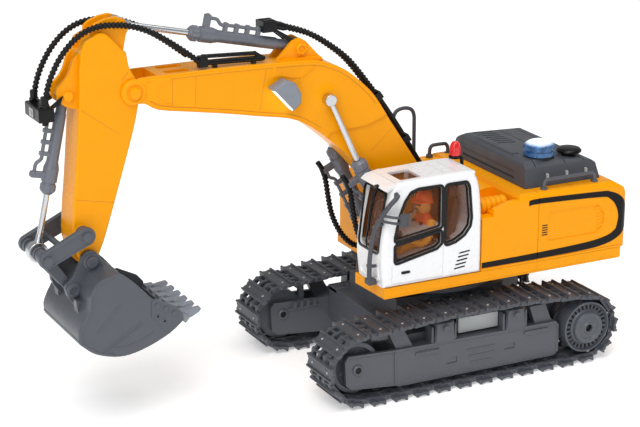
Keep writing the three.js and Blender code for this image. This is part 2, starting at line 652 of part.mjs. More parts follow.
function rod({ base, pin, y, inner, rodRadius, eyeRadius, eyeHalf, eyeHole }) {
  const reach = Math.hypot(pin[0] - base[0], pin[1] - base[1]);
  const shaft = bar(towards(base, pin, inner), towards(base, pin, reach - 1), y, rodRadius, 10);
  const body = join(shaft, crossBar(pin, eyeRadius, y - eyeHalf, y + eyeHalf, 12));
  return eyeHole ? cut(body, crossBar(pin, eyeHole, y - 20, y + 20)) : body;
}

const boomCylinder = (sign) => ({
  base: BOOM_CYLINDER_BASE, pin: BOOM_CYLINDER_PIN, y: sign * BOOM_CYLINDER_Y, radius: 6.4, rodRadius: 2.3,
  neck: 8, length: 84, inner: 30,
});
const stickCylinder = {
  base: STICK_CYLINDER_BASE, pin: STICK_CYLINDER_PIN, y: 0, radius: 5.6, rodRadius: 2.5,
  neck: 17, length: 92, inner: 54,
};
const bucketCylinder = {
  base: BUCKET_CYLINDER_BASE, pin: CRANK_PIN, y: 0, radius: 5.4, rodRadius: 2.3,
  neck: 14, length: 76, inner: 50,
};

// ---- bucket linkage --------------------------------------------------------------------------

const SHAFT_R = 2.2;

// Two round ends joined by straight sides, in side view.
function stadium(a, radiusA, b, radiusB) {
  const slope = THREE.MathUtils.radToDeg(Math.atan2(b[1] - a[1], b[0] - a[0]));
  return [...arc(b, radiusB, slope - 90, slope + 90, 6), ...arc(a, radiusA, slope + 90, slope + 270, 6)];
}

function rockerLink() {
  const outline = stadium(ROCKER_PIVOT, 7, CRANK_PIN, 6.5);
  const sideBar = (sign) => join(
    sideSlab(outline, ...span(sign, 19.5, 24.5)),
    crossBar(ROCKER_PIVOT, 6, ...span(sign, STICK_HALF + GAP, 20)),
    crossBar(ROCKER_PIVOT, 4.2, ...span(sign, 24, 26.5), 6),
    crossBar(CRANK_PIN, 4.2, ...span(sign, 24, 26.5), 6),
  );
  const middle = towards(ROCKER_PIVOT, CRANK_PIN, 19);
  return join(sideBar(-1), sideBar(1), crossBar(CRANK_PIN, SHAFT_R, -20, 20),
    crossBar(ROCKER_PIVOT, PIN_R, -20, 20), crossBar(middle, 2.4, -20, 20));
}

function pushLink() {
  const outline = stadium(CRANK_PIN, 5, LINK_PIN, 3.6);
  const cheek = (sign) => sideSlab(outline, ...span(sign, 8.5, 13));
  const tie = crossBar(towards(CRANK_PIN, LINK_PIN, 20), 3.6, -10, 10);
  return cut(join(cheek(-1), cheek(1), tie), crossBar(CRANK_PIN, SHAFT_R + GAP, -20, 20));
}

// ---- bucket ----------------------------------------------------------------------------------

const BUCKET_SIDE = anticlockwise([
  [-285, 127], [-299, 123], [-305, 117], [-308, 110], [-309, 101], [-315, 91], [-318, 83], [-317, 75],
  [-309, 68], [-302, 64], [-290, 60.5], [-278, 60], [-262, 64], [-245, 71.5], [-233, 80.5], [-240, 88],
  [-247, 95], [-258, 101], [-267, 111], [-275, 119],
]);
const BUCKET_CAVITY = anticlockwise([
  [-284, 125], [-297, 121], [-302, 116], [-305.5, 109], [-306.4, 100], [-312.4, 90], [-315.3, 83],
  [-314.5, 76.4], [-307.6, 70.2], [-301, 66.4], [-289.6, 63.1], [-278.2, 62.6], [-263, 66.4], [-246.6, 73.6],
  [-236, 81.6], [-222, 92], [-250, 135], [-282, 140],
]);
const BUCKET_EARS = [
  [-307, 131], [-305.5, 136], [-302, 139], [-298, 139.6], [-294, 138], [-290.5, 133],
  [-287, 121], [-281, 116], [-284, 112], [-302, 99], [-307, 96], [-312, 98], [-317.5, 106], [-319.5, 112],
  [-318.5, 116.5], [-314, 119.5],
];
const TEETH = 6;
const TOOTH_SIDE = [[-231.5, 77.2], [-219.4, 86.6], [-219.6, 88.2], [-229.6, 84.6], [-233.4, 85.8]];

function bucketShell() {
  const outer = sideSlab(BUCKET_SIDE, -BUCKET_HALF, BUCKET_HALF);
  const cavity = sideSlab(BUCKET_CAVITY, -BUCKET_HALF + WALL, BUCKET_HALF - WALL);
  const ear = (sign) => cut(sideSlab(BUCKET_EARS, ...span(sign, 14, 17.4)),
    sideSlab(BUCKET_CAVITY, -BUCKET_HALF, BUCKET_HALF));
  const earBoss = (sign) => crossBar(LINK_PIN, 5.5, ...span(sign, 17, 19));
  const body = join(cut(outer, cavity), ear(-1), ear(1), earBoss(-1), earBoss(1));
  return cut(body, crossBar(BUCKET_PIN, PIN_R + GAP, -30, 30));
}

function bucketTeeth() {
  const plate = sideSlab([[-237.6, 82.2], [-231.5, 76.4], [-227.5, 80.6], [-233.6, 86.4]], -37, 37);
  const tooth = (i) => {
    const y = -32 + (64 * i) / (TEETH - 1);
    return sideSlab(TOOTH_SIDE, y - 3.4, y + 3.4);
  };
  const teeth = Array.from({ length: TEETH }, (_, i) => tooth(i));
  return cut(join(plate, ...teeth), sideSlab(inset(BUCKET_SIDE, -GAP), -45, 45));
}

// ---- hoses -----------------------------------------------------------------------------------

const HOSE_R = 2.1;
const BACK_ROUTE = [
  [-147, 290], [-138, 291], [-126, 288], [-108, 281.5], [-91, 271], [-74, 257], [-56, 235],
  [-44, 219], [-31, 200], [-19, 181], [-9, 165], [-1, 152],
];
const STICK_ROUTE = [
  [-205, 272], [-220, 283.5], [-237, 295], [-250, 301.5], [-261, 305], [-272, 306.6], [-283, 306.8],
  [-294, 304], [-304, 297.6], [-313, 288], [-320, 276.5], [-324.5, 265], [-327, 252],
];
const FOOT_ROUTE = [
  [-89, 169.5], [-85.5, 164], [-82, 154], [-79.5, 139], [-76.5, 125], [-71.5, 113], [-65, 103],
  [-57, 95.5], [-49, 92.8], [-45.5, 92.6],
];

// A hose along a side route, standing at a distance off the middle plane.
const hose = (route, y, steps) => tube(route.map(([x, z]) => [x, y, z]), HOSE_R, { steps });

// ---- the machine -----------------------------------------------------------------------------

place('chassis_frame', plastic(GREY), chassisFrame());
place('battery_pack', plastic(0x2b3f6b), batteryPack());
place('battery_door', plastic(DARK), batteryDoor());
place('power_switch', plastic(DARK), powerSwitch());
for (const [side, sign] of SIDES) {
  place(`track_${side}`, plastic(DARK, 0.55), track(sign));
  place(`track_frame_${side}`, plastic(GREY), trackFrame(sign));
  place(`idler_${side}`, plastic(GREY), idler(sign));
  place(`sprocket_${side}`, plastic(GREY), sprocket(sign));
  place(`drive_motor_${side}`, plastic(DARK), driveMotor(sign));
}

place('house_floor', plastic(YELLOW), houseFloor());
place('house_shell', plastic(YELLOW), houseShell());
place('hood', plastic(GREY), hood());
place('circuit_board', plastic(0x1d6b3a), circuitBoard());
place('slew_motor', plastic(DARK), slewMotor());
place('boom_foot_pin', metal(STEEL), headedPin(BOOM_FOOT, 20, 4.4, 19.9, 22));
place('cab_shell', plastic(0xeeeeee, 0.3), cabShell());
place('cab_glazing', plastic(0x9a8f86, 0.1), cabGlazing());
place('cab_seat', plastic(DARK), cabSeat());
place('driver_figure', plastic(0xff6a1f), driverFigure());
place('control_console', plastic(DARK), controlConsole());
place('cab_handrail', plastic(GREY), cabHandrail());
place('cab_mirror', plastic(GREY), cabMirror());
place('wiper', plastic(GREY), wiper());
place('side_rail', plastic(GREY), sideRail());
place('hoop_rail', plastic(GREY), hoopRail());
place('front_rail', plastic(GREY), frontRail());
place('red_beacon', plastic(0xd4141c), redBeacon());
place('blue_beacon', plastic(0x2a78b8, 0.15), blueBeacon());
place('exhaust_cap', plastic(DARK), exhaustCap());

place('stick_pivot_pin', metal(STEEL), headedPin(STICK_PIVOT, 18.5, 4.6, 16.7, 19.2));
place('work_light', plastic(GREY), workLight());
place('hose_guard', plastic(DARK), hoseGuard());
place('bucket_pin', metal(STEEL), headedPin(BUCKET_PIN, 19, 4.6, 17.9, 20.5));
place('rocker_link', plastic(GREY), rockerLink());
place('push_link', plastic(GREY), pushLink());
place('bucket_shell', plastic(GREY), bucketShell());
place('bucket_teeth', plastic(0x8b8d91, 0.35), bucketTeeth());
for (const [side, sign] of SIDES) {
  place(`boom_${side}_half`, plastic(YELLOW), boomHalf(sign));
  place(`stick_${side}_half`, plastic(YELLOW), stickHalf(sign));
  place(`boom_barrel_${side}`, plastic(GREY), barrel({
    ...boomCylinder(sign), eyeRadius: 6, eyeHalf: 2.2, eyeHole: PIN_R + GAP,
  }));
  place(`boom_rod_${side}`, metal(CHROME), rod({ ...boomCylinder(sign), eyeRadius: 6.5, eyeHalf: 3.6 }));
  place(`hose_back_${side}`, plastic(DARK), hose(BACK_ROUTE, sign * 3, 16));
  place(`hose_stick_${side}`, plastic(DARK), hose(STICK_ROUTE, sign * 12, 18));
  place(`hose_foot_${side}`, plastic(DARK), hose(FOOT_ROUTE, sign * BOOM_CYLINDER_Y, 14));
}
place('stick_barrel', plastic(GREY), barrel({ ...stickCylinder, eyeRadius: 6, eyeHalf: 4.3 }));
place('stick_rod', metal(CHROME), rod({ ...stickCylinder, eyeRadius: 6, eyeHalf: 4 }));
place('bucket_barrel', plastic(GREY), barrel({ ...bucketCylinder, eyeRadius: 6, eyeHalf: 4.3 }));
place('bucket_rod', metal(CHROME), rod({ ...bucketCylinder, eyeRadius: 7.8, eyeHalf: 4, eyeHole: 5.1 }));

export default machine;
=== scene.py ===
import json
import math

import bmesh
import bpy
from mathutils import Matrix, Vector, geometry


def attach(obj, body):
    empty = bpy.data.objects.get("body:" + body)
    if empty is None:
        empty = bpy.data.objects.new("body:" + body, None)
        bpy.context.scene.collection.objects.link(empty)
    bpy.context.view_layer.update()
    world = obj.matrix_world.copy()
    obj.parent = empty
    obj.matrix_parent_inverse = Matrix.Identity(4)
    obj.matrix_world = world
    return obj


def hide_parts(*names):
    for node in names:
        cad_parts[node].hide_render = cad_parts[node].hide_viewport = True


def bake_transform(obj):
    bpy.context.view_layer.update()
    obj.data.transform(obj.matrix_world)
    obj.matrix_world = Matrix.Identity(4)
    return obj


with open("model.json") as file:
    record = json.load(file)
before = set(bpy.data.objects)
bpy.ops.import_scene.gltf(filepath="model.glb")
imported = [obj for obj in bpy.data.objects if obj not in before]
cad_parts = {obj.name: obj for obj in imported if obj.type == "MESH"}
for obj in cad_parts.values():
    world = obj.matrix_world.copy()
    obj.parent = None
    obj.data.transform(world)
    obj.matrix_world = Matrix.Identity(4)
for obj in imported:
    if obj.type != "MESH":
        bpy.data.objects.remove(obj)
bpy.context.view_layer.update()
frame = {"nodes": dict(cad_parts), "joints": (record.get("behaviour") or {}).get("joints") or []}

# Sizes are in millimetres. A side point is (x, z) and a place is (x, y, z), counted from the slewing
# axis and the ground: -X is forward, +Y is the operator's right. Pieces are put in metres at the end.

JOINTS = {joint["name"]: joint for joint in frame["joints"]}
SLEW_X = JOINTS["house_slew"]["pos_m"][0]


def side_point(joint):
    x, _, z = JOINTS[joint]["pos_m"]
    return ((x - SLEW_X) * 1000, z * 1000)


BOOM_FOOT = side_point("boom_lift")
STICK_PIVOT = side_point("stick_swing")
BUCKET_PIN = side_point("bucket_curl")
ROCKER_PIVOT = side_point("rocker_swing")
CRANK_PIN = side_point("push_link_swing")
BOOM_CYLINDER_BASE = side_point("boom_barrel_left_tilt")
STICK_CYLINDER_BASE = side_point("stick_barrel_tilt")
BUCKET_CYLINDER_BASE = side_point("bucket_barrel_tilt")
SPROCKET_AXLE = side_point("sprocket_left_spin")
IDLER_AXLE = side_point("idler_left_spin")
SIDES = (("left", -1), ("right", 1))


# ---- flat outlines ---------------------------------------------------------------------------

def arc(centre, radius, start, end, steps=12):
    """Points of an arc, angles in degrees."""
    turns = [math.radians(start + (end - start) * i / steps) for i in range(steps + 1)]
    return [(centre[0] + radius * math.cos(t), centre[1] + radius * math.sin(t)) for t in turns]


def circle(centre, radius, steps=32):
    return arc(centre, radius, 0, 360, steps)[:-1]


def rectangle(x0, x1, z0, z1):
    return [(x0, z0), (x1, z0), (x1, z1), (x0, z1)]


def anticlockwise(points):
    area = sum(a[0] * b[1] - b[0] * a[1] for a, b in zip(points, points[1:] + points[:1]))
    return points if area > 0 else points[::-1]


def inset(points, distance):
    """An anticlockwise outline moved inwards."""
    moved = []
    for i, point in enumerate(points):
        before = Vector(points[i - 1])
        after = Vector(points[(i + 1) % len(points)])
        here = Vector(point)
        a = (here - before).normalized()
        b = (after - here).normalized()
        middle = Vector((-a.y - b.y, a.x + b.x))
        if middle.length < 1e-6:
            middle = Vector((-a.y, a.x))
        middle.normalize()
        reach = distance / max(0.45, middle.dot(Vector((-a.y, a.x))))
        moved.append((here.x + middle.x * reach, here.y + middle.y * reach))
    return uncrossed(moved)


def uncrossed(points, reach=7):
    """The same count of points, with the small loops that an inset makes pulled into one point."""
    count = len(points)
    made = list(points)
    for i in range(count):
        for step in range(min(reach, count - 3), 1, -1):
            j = (i + step) % count
            met = geometry.intersect_line_line_2d(Vector(made[i]), Vector(made[(i + 1) % count]),
                                                  Vector(made[j]), Vector(made[(j + 1) % count]))
            if met is not None:
                for k in range(1, step + 1):
                    made[(i + k) % count] = tuple(met)
                break
    return made


def rounded(points, radius, steps=5):
    """An outline with its corners filleted, by one radius or by one for each point."""
    radii = radius if isinstance(radius, (list, tuple)) else [radius] * len(points)
    made = []
    for i, (point, r) in enumerate(zip(points, radii)):
        here = Vector(point)
        a = Vector(points[i - 1]) - here
        b = Vector(points[(i + 1) % len(points)]) - here
        half = a.angle(b) / 2
        reach = min(r / max(math.tan(half), 1e-6), a.length * 0.49, b.length * 0.49)
        if r <= 0 or half > math.radians(88):
            made.append(tuple(here))
            continue
        start = here + a.normalized() * reach
        end = here + b.normalized() * reach
        for k in range(steps + 1):
            t = k / steps
            made.append(tuple(start * (1 - t) ** 2 + here * 2 * t * (1 - t) + end * t * t))
    return made


def curved(points, corner=35, steps=4):
    """A smooth closed outline through the points that keeps the corners sharper than an angle."""
    count = len(points)
    flat = [Vector(p) for p in points]
    sharp = []
    for i in range(count):
        a = flat[i] - flat[i - 1]
        b = flat[(i + 1) % count] - flat[i]
        sharp.append(math.degrees(a.angle(b, 0)) > corner)
    made = []
    for i in range(count):
        p1 = flat[i]
        p2 = flat[(i + 1) % count]
        p0 = p1 if sharp[i] else flat[i - 1]
        p3 = p2 if sharp[(i + 1) % count] else flat[(i + 2) % count]
        for k in range(steps):
            t = k / steps
            made.append(tuple(0.5 * (2 * p1 + (p2 - p0) * t + (2 * p0 - 5 * p1 + 4 * p2 - p3) * t ** 2
                                     + (3 * p1 - p0 - 3 * p2 + p3) * t ** 3)))
    return made


def ribbon(path, width, closed=False):
    """The outline of a line of even width along a path, as one polygon."""
    left, right = [], []
    count = len(path)
    for i in range(count):
        before = Vector(path[i - 1] if closed or i else path[0])
        after = Vector(path[(i + 1) % count] if closed or i < count - 1 else path[-1])
        along = (after - before).normalized()
        offset = Vector((-along.y, along.x)) * width / 2
        left.append(tuple(Vector(path[i]) + offset))
        right.append(tuple(Vector(path[i]) - offset))
    return left + right[::-1]


def smooth_path(points, steps=6):
    """A smooth open route through places."""
    flat = [Vector(p) for p in points]
    made = []
    for i in range(len(flat) - 1):
        p1, p2 = flat[i], flat[i + 1]
        p0 = flat[i - 1] if i else p1 * 2 - p2
        p3 = flat[i + 2] if i + 2 < len(flat) else p2 * 2 - p1
        for k in range(steps):
            t = k / steps
            made.append(0.5 * (2 * p1 + (p2 - p0) * t + (2 * p0 - 5 * p1 + 4 * p2 - p3) * t ** 2
                               + (3 * p1 - p0 - 3 * p2 + p3) * t ** 3))
    return made + [flat[-1]]


def even_steps(path, step):
    """Places at even distances along a path."""
    made = [path[0]]
    left = step
    for a, b in zip(path, path[1:]):
        length = (b - a).length
        done = 0.0
        while length - done >= left:
            done += left
            made.append(a.lerp(b, done / length))
            left = step
        left -= length - done
    return made


def stadium(a, radius_a, b, radius_b, steps=12):
    """Two round ends joined by straight sides."""
    slope = math.degrees(math.atan2(b[1] - a[1], b[0] - a[0]))
    return arc(b, radius_b, slope - 90, slope + 90, steps) + arc(a, radius_a, slope + 90, slope + 270, steps)


def towards(a, b, distance):
    """The side point at a distance from a towards b."""
    here = Vector(a)
    return tuple(here + (Vector(b) - here).normalized() * distance)


def off_middle(sign, a, b):
    """The span from a to b off the middle plane, on one side of the machine."""
    return (-b, -a) if sign < 0 else (a, b)


# ---- solid forms -----------------------------------------------------------------------------

PLANES = {
    "side": lambda a, b, depth: (a, depth, b),
    "plan": lambda a, b, depth: (a, b, depth),
    "end": lambda a, b, depth: (depth, a, b),
}


class Form:
    """The faces of one piece, gathered in millimetres."""

    def __init__(self):
        self.mesh = bmesh.new()

    def loops(self, rings, closed=True, caps=True):
        """Skins a list of rings of places that all have the same count."""
        rows = [[self.mesh.verts.new(p) for p in ring] for ring in rings]
        count = len(rows[0])
        for low, high in zip(rows, rows[1:]):
            for i in range(count if closed else count - 1):
                k = (i + 1) % count
                self.mesh.faces.new((low[i], low[k], high[k], high[i]))
        if caps:
            self.mesh.faces.new(rows[0][::-1])
            self.mesh.faces.new(rows[-1])
        bmesh.ops.remove_doubles(self.mesh, verts=[v for row in rows for v in row], dist=0.002)
        return self

    def slab(self, points, low, high, plane="side", bevel=0.0, steps=3, taper=0.0):
        """An outline pulled from one level to another, its rims rounded and its far end narrowed."""
        points = anticlockwise(list(points))
        place = PLANES[plane]
        bevel = min(bevel, (high - low) / 2.001)
        stations = []
        for i in range(steps + 1 if bevel else 1):
            turn = math.radians(90 * i / steps)
            stations.append((bevel * (1 - math.sin(turn)), low + bevel * (1 - math.cos(turn))))
        stations += [(d, high + low - level) for d, level in reversed(stations)]
        rings = []
        for distance, level in stations:
            narrow = taper * (level - low) / (high - low)
            ring = inset(points, distance + narrow) if distance + narrow else points
            rings.append([place(a, b, level) for a, b in ring])
        if plane == "side":
            rings = [ring[::-1] for ring in rings]
        return self.loops(rings)

    def flank(self, points, sign, near, far, bevel=0.0, steps=3):
        """A side outline pulled between two distances off the middle plane, on one side of the machine."""
        return self.slab(points, *off_middle(sign, near, far), "side", bevel, steps)

    def rim(self, points, width, low, high, plane="side", bevel=0.0):
        """A flat frame of even width that runs round inside an outline."""
        points = anticlockwise(list(points))
        place = PLANES[plane]
        section = [(0, low), (0, high - bevel), (bevel, high), (width - bevel, high), (width, high - bevel),
                   (width, low)] if bevel else [(0, low), (0, high), (width, high), (width, low)]
        rings = [[place(x, z, level) for x, z in inset(points, d)] for d, level in section]
        rows = [[self.mesh.verts.new(p) for p in ring] for ring in rings]
        count = len(points)
        for low_row, high_row in zip(rows, rows[1:] + rows[:1]):
            for i in range(count):
                k = (i + 1) % count
                self.mesh.faces.new((low_row[i], low_row[k], high_row[k], high_row[i]))
        return self

    def turned(self, start, end, profile, sides=32, phase=0.0):
        """A lathe form between two places; the profile lists (distance along, radius)."""
        start, end = Vector(start), Vector(end)
        axis = (end - start).normalized()
        across = axis.orthogonal().normalized()
        other = axis.cross(across)
        rings = []
        for distance, radius in profile:
            ring = []
            for i in range(sides):
                t = 2 * math.pi * (i + phase) / sides
                ring.append(start + axis * distance
                            + (across * math.cos(t) + other * math.sin(t)) * max(radius, 0.001))
            rings.append(ring)
        return self.loops(rings)

    def boss(self, centre, sign, level, profile, sides=32):
        """A lathe form on one side of the machine that stands out from a distance off the middle plane."""
        x, z = centre
        return self.turned((x, sign * level, z), (x, sign * (level + 1), z), profile, sides)

    def rod(self, start, end, radius, bevel=0.3, sides=24, phase=0.0):
        """A round bar with softened ends."""
        length = (Vector(end) - Vector(start)).length
        profile = [(0, radius - bevel), (bevel * 0.3, radius - bevel * 0.3), (bevel, radius),
                   (length - bevel, radius), (length - bevel * 0.3, radius - bevel * 0.3),
                   (length, radius - bevel)]
        return self.turned(start, end, profile, sides, phase)

    def cross_rod(self, centre, radius, low, high, bevel=0.3, sides=24, phase=0.0):
        x, z = centre
        return self.rod((x, low, z), (x, high, z), radius, bevel, sides, phase)

    def block(self, x, y, z, bevel=0.4, plane="plan"):
        """A box from three spans."""
        if plane == "plan":
            return self.slab(rectangle(*x, *y), *z, "plan", bevel)
        if plane == "side":
            return self.slab(rectangle(*x, *z), *y, "side", bevel)
        return self.slab(rectangle(*y, *z), *x, "end", bevel)

    def tube(self, route, radius, sides=12):
        """A round section along a route; the radius is a number or one for each place."""
        route = [Vector(p) for p in route]
        radii = radius if isinstance(radius, (list, tuple)) else [radius] * len(route)
        along = (route[1] - route[0]).normalized()
        across = along.orthogonal().normalized()
        rings = []
        for i, (here, r) in enumerate(zip(route, radii)):
            new = (route[min(i + 1, len(route) - 1)] - route[max(i - 1, 0)]).normalized()
            across = along.rotation_difference(new) @ across
            along = new
            other = along.cross(across)
            rings.append([here + (across * math.cos(t) + other * math.sin(t)) * r
                          for t in (2 * math.pi * k / sides for k in range(sides))])
        return self.loops(rings)

    def ball(self, centre, radii, rings=16, sides=24, matrix=None):
        """A sphere or ellipsoid."""
        made = bmesh.ops.create_uvsphere(self.mesh, u_segments=sides, v_segments=rings, radius=1)
        for vert in made["verts"]:
            co = Vector((vert.co.x * radii[0], vert.co.y * radii[1], vert.co.z * radii[2]))
            vert.co = (matrix @ co if matrix else co) + Vector(centre)
        return self

    def hex_bolt(self, start, out, radius, height, washer=0.0, socket=0.0):
        """A bolt head standing on a surface, along the direction out."""
        start, out = Vector(start), Vector(out).normalized()
        if washer:
            self.rod(start - out * 0.2, start + out * height * 0.3, washer, 0.2)
        base = start + out * (height * 0.3 if washer else 0) - out * 0.2
        profile = [(0, radius), (height * 0.8, radius), (height, radius * 0.82)]
        if socket:
            profile += [(height, socket), (height * 0.4, socket * 0.9)]
        return self.turned(base, base + out, profile, 6)

    def join(self, other, matrix=None):
        copy = other.mesh.copy()
        if matrix:
            bmesh.ops.transform(copy, matrix=matrix, verts=copy.verts)
        mesh = bpy.data.meshes.new("part")
        copy.to_mesh(mesh)
        self.mesh.from_mesh(mesh)
        bpy.data.meshes.remove(mesh)
        copy.free()
        return self

    def shape(self, change):
        """Moves every vertex by a function of its place."""
        for vert in self.mesh.verts:
            vert.co = change(vert.co)
        return self

    def to_object(self, name):
        bmesh.ops.recalc_face_normals(self.mesh, faces=self.mesh.faces)
        mesh = bpy.data.meshes.new(name)
        self.mesh.to_mesh(mesh)
        made = bpy.data.objects.new(name, mesh)
        bpy.context.scene.collection.objects.link(made)
        return made

    def boolean(self, tool, operation):
        body, cutter = self.to_object("body"), tool.to_object("tool")
        cut = body.modifiers.new("cut", "BOOLEAN")
        cut.object = cutter
        cut.operation = operation
        cut.solver = "MANIFOLD"
        evaluated = body.evaluated_get(bpy.context.evaluated_depsgraph_get())
        mesh = bpy.data.meshes.new_from_object(evaluated)
        self.mesh.clear()
        self.mesh.from_mesh(mesh)
        for done in (body, cutter):
            bpy.data.meshes.remove(done.data)
        return self

    def carve(self, tool):
        """Cuts the tool's space out of this form."""
        return self.boolean(tool, "DIFFERENCE")

    def merge(self, tool):
        """Joins the tool to this form as one closed skin."""
        return self.boolean(tool, "UNION")

    def keep(self, tool):
        """Keeps only what lies inside the tool."""
        return self.boolean(tool, "INTERSECT")


def piece(name, form, material, body, replaces=(), sharp=42):
    """Puts a form in the scene as one piece, in metres, riding on a CAD body."""
    made = form.to_object(name)
    made.data.transform(Matrix.Translation((SLEW_X, 0, 0)) @ Matrix.Scale(0.001, 4))
    shade(made, sharp)
    made.data.materials.append(material)
    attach(made, body)
    if replaces:
        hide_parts(*replaces)
    return made


def shade(made, sharp):
    """Smooth shading that keeps the edges sharper than an angle."""
    mesh = bmesh.new()
    mesh.from_mesh(made.data)
    limit = math.radians(sharp)
    for face in mesh.faces:
        face.smooth = True
    for edge in mesh.edges:
        edge.smooth = len(edge.link_faces) == 2 and edge.calc_face_angle(0) < limit
    mesh.to_mesh(made.data)
    mesh.free()
    weighted = made.modifiers.new("weighted", "WEIGHTED_NORMAL")
    weighted.keep_sharp = True


def from_node(node, bevel=0.4, segments=2, flat=3):
    """A CAD node's mesh as a form, its triangles merged into flat faces and its edges rounded."""
    form = Form()
    form.mesh.from_mesh(frame["nodes"][node].data)
    bmesh.ops.transform(form.mesh, verts=form.mesh.verts,
                        matrix=Matrix.Scale(1000, 4) @ Matrix.Translation((-SLEW_X, 0, 0)))
    bmesh.ops.remove_doubles(form.mesh, verts=form.mesh.verts, dist=0.005)
    bmesh.ops.dissolve_limit(form.mesh, angle_limit=math.radians(flat), verts=form.mesh.verts,
                             edges=form.mesh.edges)
    if bevel:
        edges = [edge for edge in form.mesh.edges
                 if len(edge.link_faces) == 2 and edge.calc_face_angle(0) > math.radians(30)]
        bmesh.ops.bevel(form.mesh, geom=edges, offset=bevel, segments=segments, profile=0.5, affect="EDGES",
                        clamp_overlap=True)
    return form


# ---- materials -------------------------------------------------------------------------------


def srgb(r, g, b):
    """A colour given as it looks, 0 to 255, as Blender counts light."""
    light = []
    for c in (r / 255, g / 255, b / 255):
        light.append(c / 12.92 if c <= 0.04 else ((c + 0.055) / 1.055) ** 2.4)
    return (*light, 1.0)


class Paint:
    """A node material on object coordinates, in millimetres."""

    def __init__(self, name, slot, **sockets):
        self.material = bpy.data.materials.new(name)
        self.material.use_nodes = True
        self.tree = self.material.node_tree
        self.shader = self.tree.nodes["Principled BSDF"]
        for socket, value in sockets.items():
            self.shader.inputs[socket.replace("_", " ")].default_value = value
        scale = self.add("ShaderNodeVectorMath", operation="SCALE")
        scale.inputs["Scale"].default_value = 1000
        self.link(self.add("ShaderNodeTexCoord").outputs["Object"], scale.inputs[0])
        self.place = scale.outputs[0]

    def add(self, kind, **settings):
        node = self.tree.nodes.new(kind)
        for key, value in settings.items():
            setattr(node, key, value)
        return node

    def link(self, a, b):
        self.tree.links.new(a, b)

    def noise(self, size, detail=3.0, stretch=(1, 1, 1)):
        """Cloudy noise whose features are about size millimetres across."""
        place = self.place
        if stretch != (1, 1, 1):
            mapping = self.add("ShaderNodeMapping")
            mapping.inputs["Scale"].default_value = stretch
            self.link(place, mapping.inputs["Vector"])
            place = mapping.outputs[0]
        node = self.add("ShaderNodeTexNoise")
        node.inputs["Scale"].default_value = 1 / size
        node.inputs["Detail"].default_value = detail
        self.link(place, node.inputs["Vector"])
        return node.outputs["Fac"]

    def spread(self, value, low, high, start=0.3, end=0.7):
        node = self.add("ShaderNodeMapRange")
        for socket, number in zip(("From Min", "From Max", "To Min", "To Max"), (start, end, low, high)):
            node.inputs[socket].default_value = number
        self.link(value, node.inputs["Value"])
        return node.outputs[0]

    def mix(self, factor, a, b):
        node = self.add("ShaderNodeMix", data_type="RGBA")
        for socket, value in ((6, a), (7, b)):
            if isinstance(value, tuple):
                node.inputs[socket].default_value = value
            else:
                self.link(value, node.inputs[socket])
        self.link(factor, node.inputs[0])
        return node.outputs[2]

    def colour(self, value):
        self.link(value, self.shader.inputs["Base Color"])
        return self

    def cloudy(self, a, b, size=12.0):
        """Base colour that drifts between two near colours."""
        return self.colour(self.mix(self.spread(self.noise(size), 0, 1), a, b))

    def edge_highlight(self, colour, edge, share=0.5, radius=0.35):
        """Colour painted paler along the edges: a painted highlight where light catches them."""
        bevel = self.add("ShaderNodeBevel", samples=4)
        bevel.inputs["Radius"].default_value = radius / 1000
        surface = self.add("ShaderNodeNewGeometry")
        dot = self.add("ShaderNodeVectorMath", operation="DOT_PRODUCT")
        self.link(bevel.outputs[0], dot.inputs[0])
        self.link(surface.outputs["Normal"], dot.inputs[1])
        highlight_mask = self.spread(dot.outputs["Value"], share, 0, 0.9, 0.995)
        return self.mix(highlight_mask, colour, edge)

    def rough(self, low, high, size=6.0):
        self.link(self.spread(self.noise(size), low, high), self.shader.inputs["Roughness"])
        return self

    def grain(self, size, height, detail=2.0, stretch=(1, 1, 1)):
        """Fine surface relief of a height in millimetres."""
        bump = self.add("ShaderNodeBump")
        bump.inputs["Distance"].default_value = height / 1000
        self.link(self.noise(size, detail, stretch), bump.inputs["Height"])
        self.link(bump.outputs[0], self.shader.inputs["Normal"])
        return self


def moulded(name, slot, colour, gloss=(0.28, 0.4), grain=0.25, height=0.012, spread=0.05,
            edge=None, **sockets):
    """Injection-moulded plastic: a faint drift of colour, a fine skin and edges painted paler as a highlight.
    """
    paint = Paint(name, slot, **sockets)
    darker = tuple(c * (1 - spread) for c in colour[:3]) + (1.0,)
    mixed = paint.mix(paint.spread(paint.noise(14.0), 0, 1), darker, colour)
    # The edge colour is a painted highlight laid along the rounded edges.
    if edge:
        mixed = paint.edge_highlight(mixed, edge)
    paint.colour(mixed)
    paint.rough(*gloss)
    paint.grain(grain, height)
    return paint.material


# Each edge= colour below is a painted highlight along that material's edges.
YELLOW = moulded("yellow_moulding", "yellow_plastic", srgb(247, 160, 0), (0.24, 0.34), 0.3, 0.006, 0.035,
                 edge=srgb(255, 190, 30), Specular_IOR_Level=0.14, Coat_Weight=0.05, Coat_Roughness=0.12)
WHITE = moulded("white_moulding", "white_plastic", srgb(238, 239, 241), (0.24, 0.34), 0.3, 0.002, 0.01,
                Coat_Weight=0.3, Coat_Roughness=0.12)
GREY = moulded("grey_moulding", "grey_plastic", srgb(80, 83, 90), (0.34, 0.46), 0.22, 0.02, 0.06,
               edge=srgb(122, 125, 132))
DARK = moulded("dark_moulding", "black_plastic", srgb(68, 71, 78), (0.36, 0.5), 0.22, 0.02, 0.07,
               edge=srgb(108, 111, 118))
TRACK = moulded("track_moulding", "track_plastic", srgb(70, 73, 80), (0.32, 0.46), 0.3, 0.02, 0.1,
                edge=srgb(132, 136, 145))
LINK = moulded("link_moulding", "link_grey", srgb(78, 82, 90), (0.3, 0.42), 0.25, 0.015, 0.06,
               edge=srgb(128, 132, 140))
CYLINDER = moulded("cylinder_moulding", "grey_plastic", srgb(104, 107, 116), (0.24, 0.34), 0.3, 0.006, 0.04,
                   edge=srgb(160, 164, 172))
